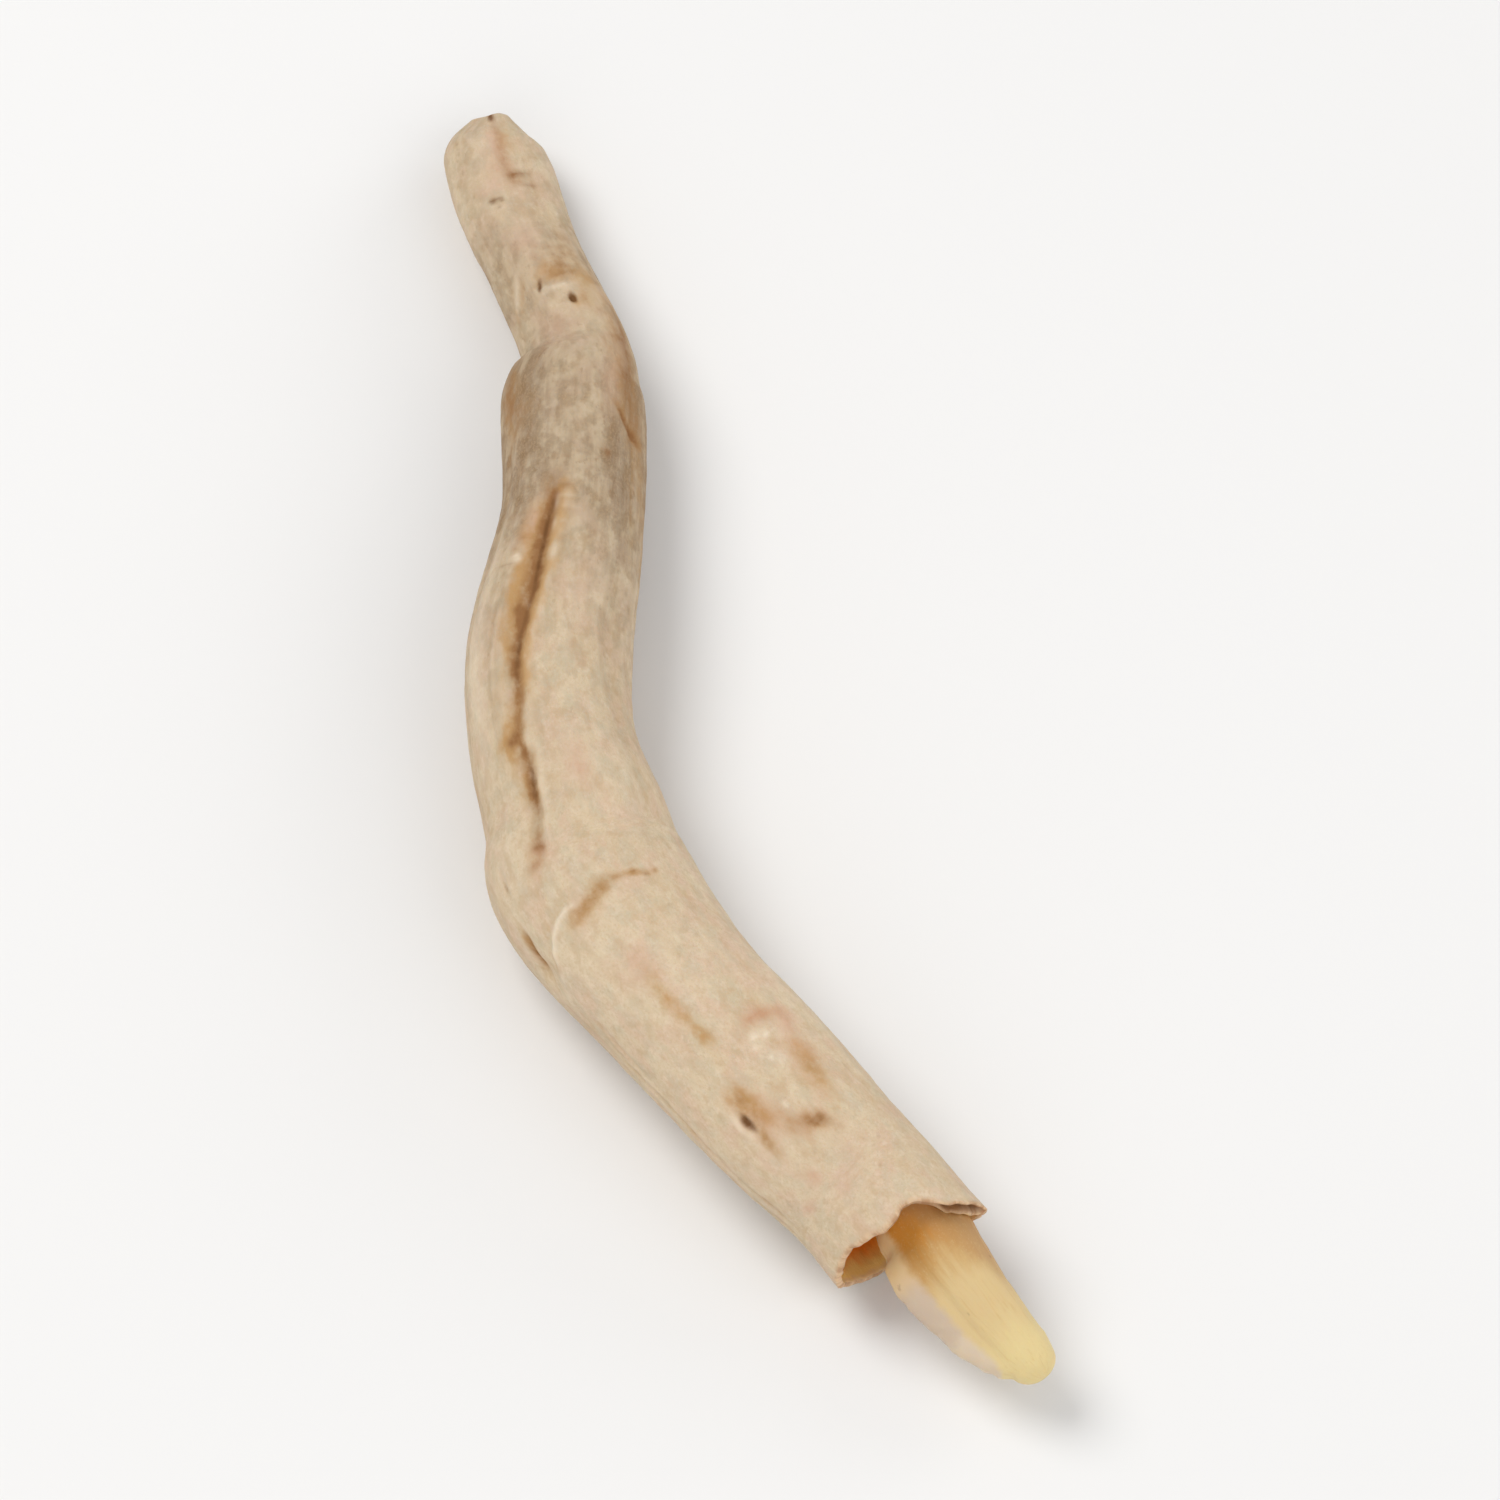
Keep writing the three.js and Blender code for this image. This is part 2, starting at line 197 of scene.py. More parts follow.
# The dried crack down the left of the upper side. It is a step: a steep right wall, and a slope to the left.
fissure = {
    # along, turn of the dark line, how deep, how dark, width of the slope, how brown the slope is
    "path": [
        (18.8, 101, 0, 0, 0.4, 0), (20, 100, 0.15, 0.2, 0.5, 0.1), (20.7, 99, 0.35, 0.55, 0.5, 0.25),
        (21.3, 100, 0.55, 0.95, 0.5, 0.8), (22.5, 101, 0.75, 1, 0.6, 0.9), (23.65, 102, 0.85, 1, 0.65, 1),
        (24.6, 102, 0.9, 1, 0.6, 1), (25.5, 103, 0.9, 0.8, 0.75, 0.9), (26.6, 106, 0.8, 0.75, 0.7, 0.9),
        (27.7, 110, 0.8, 1, 0.5, 0.75), (28.7, 112, 0.7, 0.95, 0.45, 0.65),
        (29.7, 111, 0.5, 0.5, 0.55, 0.55), (30.5, 113, 0.35, 0.35, 0.6, 0.5),
        (31.4, 116, 0.45, 0.5, 0.65, 0.75), (32.1, 114, 0.6, 0.6, 0.7, 0.6),
        (32.8, 115, 0.8, 0.95, 0.6, 0.5), (33.6, 119, 0.8, 0.95, 0.55, 0.5),
        (34.5, 119, 0.6, 0.7, 0.5, 0.45), (35.5, 120, 0.45, 0.5, 0.5, 0.35),
        (36.3, 121, 0.25, 0.3, 0.6, 0.3), (37, 128, 0.1, 0.1, 0.7, 0.15), (37.8, 131, 0, 0, 0.5, 0),
    ],
    "depth": 0.25, "wall": 0.25, "ramp": 1.6, "wander": 0.1, "rough": 0.045,
    # the raised edges: height, how far each is from the crack or its slope, and how wide
    "lip": 0.06, "rightLip": (0.42, 0.28), "leftLip": (0.4, 0.5),
    # stains: strength and width of each line, and strength of the others. The pale edge is a painted
    # highlight on the right lip.
    "darkLine": (0.62, 0.13), "brownLine": (0.6, 0.26), "paleEdgeHighlight": (0.2, 0.14), "brownSlope": 0.75,
    "honey": 1.5, "rightHoney": (1.7, 0.6), "rightWidth": 0.5, "fainter": (28.6, 29.6),
}

# Edges that run round the root, as turn and along. Height is the step up from one side of it to the other.
ledges = [
    {
        "edge": [(60, 10.5), (70, 10.25), (87, 10.02), (104, 9.85), (112, 9.75), (120, 9.9)],
        "reach": (80, 106), "fade": 12, "height": 0.05, "runOut": 1.2, "sharp": 0.08,
    },
    {
        "edge": [(30, 40.6), (56, 39.5), (76, 38.8), (92, 38.8), (108, 39.0), (124, 38.98), (134, 39.15),
                 (146, 39.5), (158, 40.2), (180, 41.0)],
        "reach": (104, 150), "fade": 34, "height": 0.12, "runOut": 3.2, "sharp": 0.3,
    },
]

# Lines on the skin: (along, turn) places, width, height, and how strongly each mark shows on the line
lines = [
    # knee: a pale edge, a painted highlight, then a stained fold that is partly painted shade
    ([(39.0, 120), (38.95, 124), (39.05, 131), (39.35, 141), (39.7, 148), (40.0, 153)],
     0.1, 0.05, {"paleAndHighlight": 0.8}),
    ([(39.45, 124), (39.4, 114), (39.2, 105), (38.95, 94)], 0.33, -0.06, {"honey": 1.0, "brown": 0.5}),
    ([(38.95, 95), (38.95, 88), (39.05, 78), (39.3, 66)], 0.17, -0.03, {"honey": 0.6, "brown": 0.3}),
    ([(39.85, 127), (39.8, 114), (39.6, 104)], 0.35, 0.02, {"honey": 0.35}),
    # fold lines left of the neck ledge
    ([(8.8, 126), (9.3, 136), (9.9, 147), (10.3, 152)], 0.14, 0.03, {"paleAndHighlight": 0.35}),
    ([(9.0, 121), (9.5, 130), (10.2, 140)], 0.17, -0.04, {"honey": 0.5, "brown": 0.25}),
    ([(9.6, 147), (10.2, 152), (10.9, 157)], 0.17, -0.04, {"honey": 0.4}),
    # left outline of the knee, and right of the shoulder: stained folds, partly painted shade
    ([(38.1, 160), (38.5, 163), (38.9, 169), (39.4, 173)], 0.2, -0.12, {"honey": 0.8, "brown": 0.8}),
    ([(16.0, 53), (16.6, 42), (17.1, 31), (17.5, 18)],
     0.17, -0.08, {"honey": 0.4, "brown": 0.75, "dark": 0.2}),
    # tan streak, pink arc and smudges on the lower tube
    ([(42.7, 110), (43.5, 112), (44.6, 112), (45.6, 112), (46.4, 113)], 0.32, 0.02, {"honey": 0.6}),
    ([(46.4, 113), (47.2, 116), (48.2, 121)], 0.26, 0, {"honey": 0.28}),
    ([(46.75, 91), (46.5, 85), (46.45, 77), (46.6, 68), (46.95, 58)],
     0.3, 0.03, {"flush": 0.85, "brown": 0.16}),
    ([(50.45, 109), (50.6, 100), (50.8, 95), (51.3, 88)],
     0.25, -0.04, {"honey": 0.5, "brown": 0.55, "flush": 0.4}),
    ([(48.2, 126), (48.7, 122), (49.3, 120), (49.8, 117), (50.1, 113)],
     0.4, -0.04, {"honey": 0.55, "brown": 0.15, "flush": 0.4}),
    ([(49.6, 129), (50.1, 130), (50.7, 132)], 0.22, -0.02, {"honey": 0.8, "brown": 0.45}),
    # streak that leaves the fissure to its left
    ([(31.15, 115), (31.4, 121), (31.45, 129)], 0.2, -0.03, {"honey": 0.8, "brown": 0.65}),
]

# Soft folds along the skin: turn at the start, drift in degrees per mm, from, to, width, depth
folds = [
    (58, 0.3, 1, 10, 0.45, 0.1), (138, -0.4, 2, 12, 0.4, 0.09), (66, 0.2, 14, 31, 0.7, 0.05),
    (30, 0.5, 12, 38, 0.6, 0.1), (152, 0.3, 13, 27, 0.5, 0.12), (112, -0.6, 41, 49, 0.5, 0.07),
    (72, 0.3, 43, 52, 0.6, 0.07), (20, 0.4, 40, 52, 0.6, 0.09),
]
# Folds of the underside, and fine wrinkles between all folds, both drawn at random within these limits
underFolds = {
    "count": 8, "turns": (205, 345), "starts": (2, 28), "lengths": (16, 28),
    "drift": 0.8, "width": 0.6, "depth": 0.24, "seed": 11,
}
creases = {
    "count": 52, "starts": (1, 49), "lengths": (5, 17), "last": 55,
    "drift": 1.6, "width": 0.12, "depth": 0.055, "seed": 29,
}

# Small dents and swellings: along, turn, size along, size across, height
dents = [
    (9.73, 108, 0.22, 0.14, -0.12), (10.82, 80, 0.24, 0.15, -0.2), (49.25, 131.5, 0.42, 0.16, -0.24),
    (49.1, 136.5, 0.45, 0.28, 0.06), (47.1, 87, 0.16, 0.2, 0.03), (47.25, 79, 0.14, 0.17, 0.03),
    (39.4, 172, 0.8, 0.9, -0.3), (35.8, 165, 2.2, 2.2, 0.25), (36.7, 154, 0.34, 0.12, -0.08),
    (9, 98, 0.7, 0.8, 0.06), (4.94, 114, 0.16, 0.16, -0.05), (5.08, 103, 0.16, 0.16, -0.05),
    (50.9, 98, 0.14, 0.6, -0.05), (48.3, 123, 0.5, 0.4, -0.06),
]

# The cut end is a little lower to the left of its middle, and has a lip to the right of it
endDents = [
    (0.1, 114, 0.9, 0.7, -0.16), (0.1, 72, 0.7, 0.5, 0.04), (0.5, 18, 1.7, 1, -0.3),
    (0.9, 165, 1.2, 0.8, 0.08),
]

# Notch and short crack in the upper side of the cut end: along, turn, strength
topCrack = {
    "path": [
        (0, 96, 1), (0.6, 88, 0.7), (1.6, 84, 0.75), (2.5, 87, 0.7), (3.4, 86, 1), (4, 86, 0.55),
        (4.7, 86, 0),
    ],
    "width": 0.3, "depth": 0.09, "wander": 0.07,
    "marks": {"brown": 0.5, "honey": 0.25, "flush": 0.6},
    "notchDark": 0.9, "notchReach": (0.2, 0.7),
}

# Long swells of the skin: height, how fast they go along and round the root, and their start
swells = [(0.08, 0.55, 2, 0), (0.06, 0.31, -3, 1)]

# Noise over the skin: the size of its bumps across and along, and a seed
skinNoise = {
    "wander": (3, 2.4, 1), "rough": (0.32, 0.45, 2), "lumps": (1.5, 3.6, 3),
    "fibres": (0.35, 4.5, 4), "small": (0.7, 1.1, 5), "blotch": (0.42, 0.8, 9),
}

# What the noise does to the skin: how high it stands there, and how far it moves folds, lines and marks
relief = {
    "lumps": 0.05, "fibres": 0.006, "fibresBelow": 0.02, "small": 0.02, "rough": 0.012, "blotch": 0.01,
    "foldsAside": 0.12, "creasesAside": 0.25, "ledgesAside": 0.15, "ledgesNicked": 0.06,
    "linesAlong": 0.08, "stainsAlong": 0.06, "marksAlong": 0.06, "marksAside": 0.07,
    "plainEnd": (-1, 1.5), "crackFrom": (-1.2, 0.4),       # stretches at the cut end
    # hollows get painted shade and ridges a painted highlight, where they lie this far off the blurred height
    "blurs": 14, "shadedFrom": 0.05,          # hollows and ridges: how far off the blurred height they show
}

sleeveLine = BentLine([station[:3] for station in sleeve["stations"]])
sleeveWidths = np.array([[station[3]] for station in sleeve["stations"]], float)


def halfWidth(along):
    at = np.interp(along, sleeveLine.run, sleeveLine.at)
    return curveAt(sleeveWidths, at)[..., 0] / 2


def underFoldList():
    draws = drawsFrom(underFolds["seed"])
    made = []
    for i in range(underFolds["count"]):
        start = lerp(*underFolds["starts"], next(draws))
        turn = lerp(*underFolds["turns"], (i + 0.2 + 0.6 * next(draws)) / underFolds["count"])
        drift = underFolds["drift"] * (next(draws) - 0.5)
        end = start + lerp(*underFolds["lengths"], next(draws))
        width = underFolds["width"] * (0.8 + 0.5 * next(draws))
        made.append((turn, drift, start, end, width, underFolds["depth"] * (0.6 + 0.5 * next(draws))))
    return made


# Fine wrinkles lie all round, and are deeper on the flanks and the underside
def creaseList():
    draws = drawsFrom(creases["seed"])
    made = []
    for i in range(creases["count"]):
        turn = 360 * (i + next(draws)) / creases["count"]
        start = lerp(*creases["starts"], next(draws) ** 1.2)
        end = min(start + lerp(*creases["lengths"], next(draws)), creases["last"])
        hidden = 0.5 - 0.5 * math.sin(math.radians(turn))
        depth = creases["depth"] * (0.5 + next(draws)) * (0.25 + 1.6 * hidden)
        width = creases["width"] * (0.8 + 0.8 * next(draws))
        made.append((turn, creases["drift"] * (next(draws) - 0.5), start, end, width, depth))
    return made


def foldRelief(fold, along, turn, radius, wander):
    start, drift, low, high, width, depth = fold
    across = roundFrom(turn, start + drift * (along - low), radius) + wander
    return -depth * hump(across, width) * within(along, low, high, min(4, (high - low) / 2))


def ledgeRelief(ledge, along, turn, wander):
    below = along - easeThrough(ledge["edge"], turn % 360) + wander
    low, high = ledge["reach"]
    off = np.abs(turnFrom(turn, (low + high) / 2))
    reach = 1 - easeBetween(off, (high - low) / 2, (high - low) / 2 + ledge["fade"])
    step = easeBetween(below, -ledge["sharp"], ledge["sharp"])
    step = step * np.exp(-np.maximum(below, 0) / ledge["runOut"])
    return ledge["height"] * step * reach


# Distance in mm from every place of the grid to a line through (along, turn) places
def fromLine(places, along, turn, radius):
    nearest = np.full(along.shape, 99.0)
    for (startAlong, startTurn), (endAlong, endTurn) in zip(places, places[1:]):
        a = along - startAlong
        b = roundFrom(turn, startTurn, radius)
        stepA = endAlong - startAlong
        stepB = np.radians(endTurn - startTurn) * radius
        share = np.clip((a * stepA + b * stepB) / (stepA ** 2 + stepB ** 2 + 1e-9), 0, 1)
        nearest = np.minimum(nearest, np.hypot(a - share * stepA, b - share * stepB))
    return nearest


# 1 on a line and less towards its ends
def lineShape(places, width, along, turn, radius):
    shape = hump(fromLine(places, along, turn, radius), width)
    for end in (places[0], places[-1]):
        shape = shape * (1 - 0.6 * hump(fromLine([end, end], along, turn, radius), 0.3))
    return shape


# A soft oval spot: along, turn, half length along, half width across, and its strength or height
def spotShape(spot, along, turn, radius, aside=0):
    place, middle, halfAlong, halfAcross, strength = spot
    across = roundFrom(turn, middle, radius) + aside
    return strength * hump(np.hypot(across / halfAcross, (along - place) / halfAlong), 1)


# The fissure at a distance along: its turn, depth, darkness, width of the slope and brownness
def fissureAt(along):
    places, *columns = np.array(fissure["path"]).T
    return [np.interp(along, places, column) for column in columns]


def fissureAcross(along, turn, radius, wander, rough):
    middle = fissureAt(along)[0]
    return roundFrom(turn, middle, radius) + fissure["wander"] * wander + fissure["rough"] * rough


def fissureRelief(across, along, rough):
    _, depth, _, slope, _ = fissureAt(along)
    wall = hump(np.minimum(across, 0), fissure["wall"])
    ramp = 1 - easeBetween(across, -0.05, fissure["ramp"] * slope * (1 + 0.2 * rough))
    groove = np.where(across < 0, wall, ramp)
    (rightOff, rightWidth), (leftOff, leftWidth) = fissure["rightLip"], fissure["leftLip"]
    leftLip = 0.8 * hump(across - 1.5 * slope - leftOff, leftWidth) * (1 + 0.5 * rough)
    lips = hump(across + rightOff, rightWidth) + leftLip
    return depth * (fissure["lip"] * lips - fissure["depth"] * groove * (1 + 0.12 * rough))


def topCrackShape(along, turn, radius, wander):
    places, turns, strengths = np.array(topCrack["path"]).T
    across = roundFrom(turn, np.interp(along, places, turns), radius) + topCrack["wander"] * wander
    return hump(across, topCrack["width"]) * np.interp(along, places, strengths)


# All that varies over the skin, worked out once for a grid of places
def skinField(along, turn):
    radius, angle = halfWidth(along), np.radians(turn)
    straight = straightened(radius, turn, along)
    field = {name: bumpsAt(straight, *values) for name, values in skinNoise.items()}
    wander, rough, small = field["wander"], field["rough"], field["small"]
    across = fissureAcross(along, turn, radius, wander, rough)
    crack = topCrackShape(along, turn, radius, wander)

    height = sum(high * np.sin(fast * along + turns * angle + start) for high, fast, turns, start in swells)
    for aside, listed in (("foldsAside", folds + underFoldList()), ("creasesAside", creaseList())):
        height += sum(foldRelief(fold, along, turn, radius, relief[aside] * wander) for fold in listed)
    nicked = relief["ledgesAside"] * wander + relief["ledgesNicked"] * small
    height += sum(ledgeRelief(ledge, along, turn, nicked) for ledge in ledges)
    for places, width, lift, _ in lines:
        height += lift * lineShape(places, width, along + relief["linesAlong"] * small, turn, radius)
    height += sum(spotShape(dent, along, turn, radius) for dent in dents)
    height += fissureRelief(across, along, rough)
    height *= easeBetween(along, *relief["plainEnd"])      # the cut end has its own relief
    height -= topCrack["depth"] * crack * easeBetween(along, *relief["crackFrom"])
    height += sum(spotShape(dent, along, turn, radius) for dent in endDents)
    hidden = 0.5 - 0.5 * np.sin(angle)                     # 0 on top, 1 underneath
    fibres = (relief["fibres"] + relief["fibresBelow"] * hidden) * field["fibres"]
    height += relief["lumps"] * field["lumps"] + fibres
    height += relief["small"] * small + relief["rough"] * rough + relief["blotch"] * field["blotch"]
    field.update(along=along, turn=turn, radius=radius, straight=straight, height=height)
    field.update(across=across, crack=crack)
    return field


# The skin, or a surface inside it
def skinPoints(field, inset):
    middle, side, up = sleeveLine.section(field["along"])
    bevel = np.sin(math.pi / 2 * np.clip(field["along"] / sleeve["topBevel"], 0, 1))
    share = lerp(sleeve["topFace"], 1, bevel)
    out = field["height"] - inset
    angle = np.radians(field["turn"])
    across = (field["radius"] * share + out) * np.cos(angle)
    height = (field["radius"] * sleeve["thickness"] * share + out) * np.sin(angle)
    return onSection(middle, side, up, across, height)


# The skin with its underside flattened and drawn down to the low points
def settled(points):
    x, y, z = np.moveaxis(points, -1, 0)
    clearance = sleeve["clearance"]
    raised = (z + clearance + np.hypot(z - clearance, sleeve["softness"])) / 2
    for lowX, lowY, foot in sleeve["lowPoints"]:
        away = np.maximum(np.hypot(x - lowX, y - lowY) - foot, 0)
        raised = raised * np.where(z < sleeve["undersideTop"], 1 - hump(away, sleeve["lowPointSize"]), 1)
    return np.stack([x, y, raised], -1)


# How far along the torn edge reaches at each turn, with its small nicks
def tornEdge(turn):
    edge = easeThrough(sleeve["tornEdge"], 20 + (turn - 20) % 360)
    circle = straightened(1, turn, 0 * turn)
    nicks = bumpsAt(circle, *sleeve["nicks"])
    nicks += sleeve["fineShare"] * bumpsAt(circle, *sleeve["fineNicks"])
    return edge + sleeve["raggedness"] * nicks


def leanToTear(along, turn):
    weight = easeBetween(along, sleeveLine.length - sleeve["tearReach"], sleeveLine.length)
    return along + weight * (tornEdge(turn) - sleeveLine.length)


# the core: the pale woody strand inside, which comes out of the torn end

core = {
    # distance from the top end, radius
    "radii": [
        (0, 0.5), (3, 0.8), (12, 1), (18, 1.25), (28, 1.4), (46, 1.46), (55.5, 1.46), (57.6, 1.41),
        (60, 1.25), (62.2, 1.07), (63.4, 0.82),
    ],
    # it leans to the right and upper side of the hollow, over this stretch
    "sideways": 0.95, "lift": 0.35, "shift": (44, 56),
    "outside": [(8.06, -23.74, 3.2), (9.29, -25.56, 3.0), (10.65, -27.2, 2.7), (11.5, -28.21, 2.5)],
    "thickness": 0.96,         # as a share of the width
    "tipRound": 0.6, "topRound": 0.12, "leastEnd": 0.06,   # the ends get no thinner than this share
    "rows": 240, "columns": 110,
    "tipCrowds": [(5, 4), (0.8, 6)], "topCrowd": (0.4, 3),
    "fibres": 0.025, "lumps": 0.05, "rough": 0.012,        # heights of its relief
    # its noise, as for the skin: fibres, lumps, rough and wander
    "noise": [(0.3, 5, 11), (1.2, 3, 12), (0.25, 0.35, 13), (1, 2.4, 14)],
}

# A rest of the sleeve's wall that still clings to the core's left flank: a low shelf along it
shelf = {
    "turn": 201, "flat": 8, "side": 46, "wander": 3,       # degrees: its middle, half of its top, its sides
    "rough": 0.05, "clings": (0.05, 0.5),      # it has the look of skin from one height to the other
    "out": [
        (54.4, 0), (56, 0.6), (57.3, 0.95), (58.6, 0.98), (60.6, 0.8), (61.7, 0.58), (62.4, 0.3), (62.9, 0),
    ],
}


def coreOffset(along):
    share = easeBetween(along, *core["shift"])
    return core["sideways"] * share, core["lift"] * share


def coreCentre():
    along = np.arange(0, core["shift"][1] + 1, 4.0)
    middle, side, up = sleeveLine.section(along)
    inside = onSection(middle, side, up, *coreOffset(along))
    return BentLine(np.vstack([inside, core["outside"]]))


def shelfShape(along, turn, wander):
    off = np.abs(turnFrom(turn, shelf["turn"]) + shelf["wander"] * wander)
    flat = shelf["flat"]
    return easeThrough(shelf["out"], along), 1 - easeBetween(off, flat, flat + shelf["side"])


# Where the wall has split in two at the tear, round the right of it
def splitShare(turn):
    reach = sleeve["splitReach"]
    return within(turnFrom(turn, sleeve["splitTurn"]), -reach, reach, sleeve["splitFade"])


def borePoints(field):
    along, angle = field["along"], np.radians(field["turn"])
    gap = lerp(*sleeve["boreGap"], easeBetween(along, *sleeve["boreOpens"]))
    radius = easeThrough(core["radii"], along) + gap
    middle, side, up = sleeveLine.section(along)
    sideways, lift = coreOffset(along)
    tunnel = onSection(middle, side, up, sideways + radius * np.cos(angle), lift + radius * np.sin(angle))
    fromTear = tornEdge(field["turn"]) - along
    wall = lerp(sleeve["wallAtTear"], sleeve["wallInside"], easeBetween(fromTear, *sleeve["wallThickens"]))
    wall += sleeve["wallUneven"] * field["small"]
    thinned = 1 - easeBetween(fromTear, *sleeve["splitThins"])
    wall += sleeve["splitWall"] * splitShare(field["turn"]) * thinned
    hollow = easeBetween(along, *sleeve["hollow"])[..., None]
    return lerp(tunnel, skinPoints(field, wall), hollow)


# meshes

def putInScene(name, data):
    thing = bpy.data.objects.new(name, data)
    bpy.context.scene.collection.objects.link(thing)
    return thing


# A mesh from a grid of points. It closes round the columns, and it either closes round the rows too, or its
# first and last rows are closed to a point each. Marks are values at the points, kept as attributes.
def meshOfGrid(name, points, marks, capped):
    rows, columns = points.shape[:2]
    index = np.arange(rows * columns).reshape(rows, columns)
    near, far = (index[:-1], index[1:]) if capped else (index, np.roll(index, -1, 0))
    quads = np.stack([near, np.roll(near, -1, 1), np.roll(far, -1, 1), far], -1).reshape(-1, 4)
    faces = quads.tolist()
    flat = points.reshape(-1, 3)
    if capped:
        for pole, ring in ((rows * columns, index[0][::-1]), (rows * columns + 1, index[-1])):
            faces += np.stack([np.full(columns, pole), ring, np.roll(ring, -1)], -1).tolist()
        flat = np.vstack([flat, points[0].mean(0), points[-1].mean(0)])
    mesh = bpy.data.meshes.new(name)
    mesh.from_pydata((flat * mm).tolist(), [], faces)
    mesh.shade_smooth()
    for mark, values in marks.items():
        body = values.reshape(rows * columns, -1)
        if capped:
            body = np.vstack([body] + [values[end].reshape(columns, -1).mean(0) for end in (0, -1)])
        kind, key = ("FLOAT_VECTOR", "vector") if values.ndim == 3 else ("FLOAT", "value")
        mesh.attributes.new(mark, kind, "POINT").data.foreach_set(key, body.astype(np.float32).ravel())
    return putInScene(name, mesh)


# Blurs a grid of values over its neighbours, closed round the columns
def blurred(values, times):
    for _ in range(times):
        values = (values + np.roll(values, 1, 1) + np.roll(values, -1, 1)) / 3
        padded = np.vstack([values[:1], values, values[-1:]])
        values = (padded[:-2] + padded[1:-1] + padded[2:]) / 3
    return values


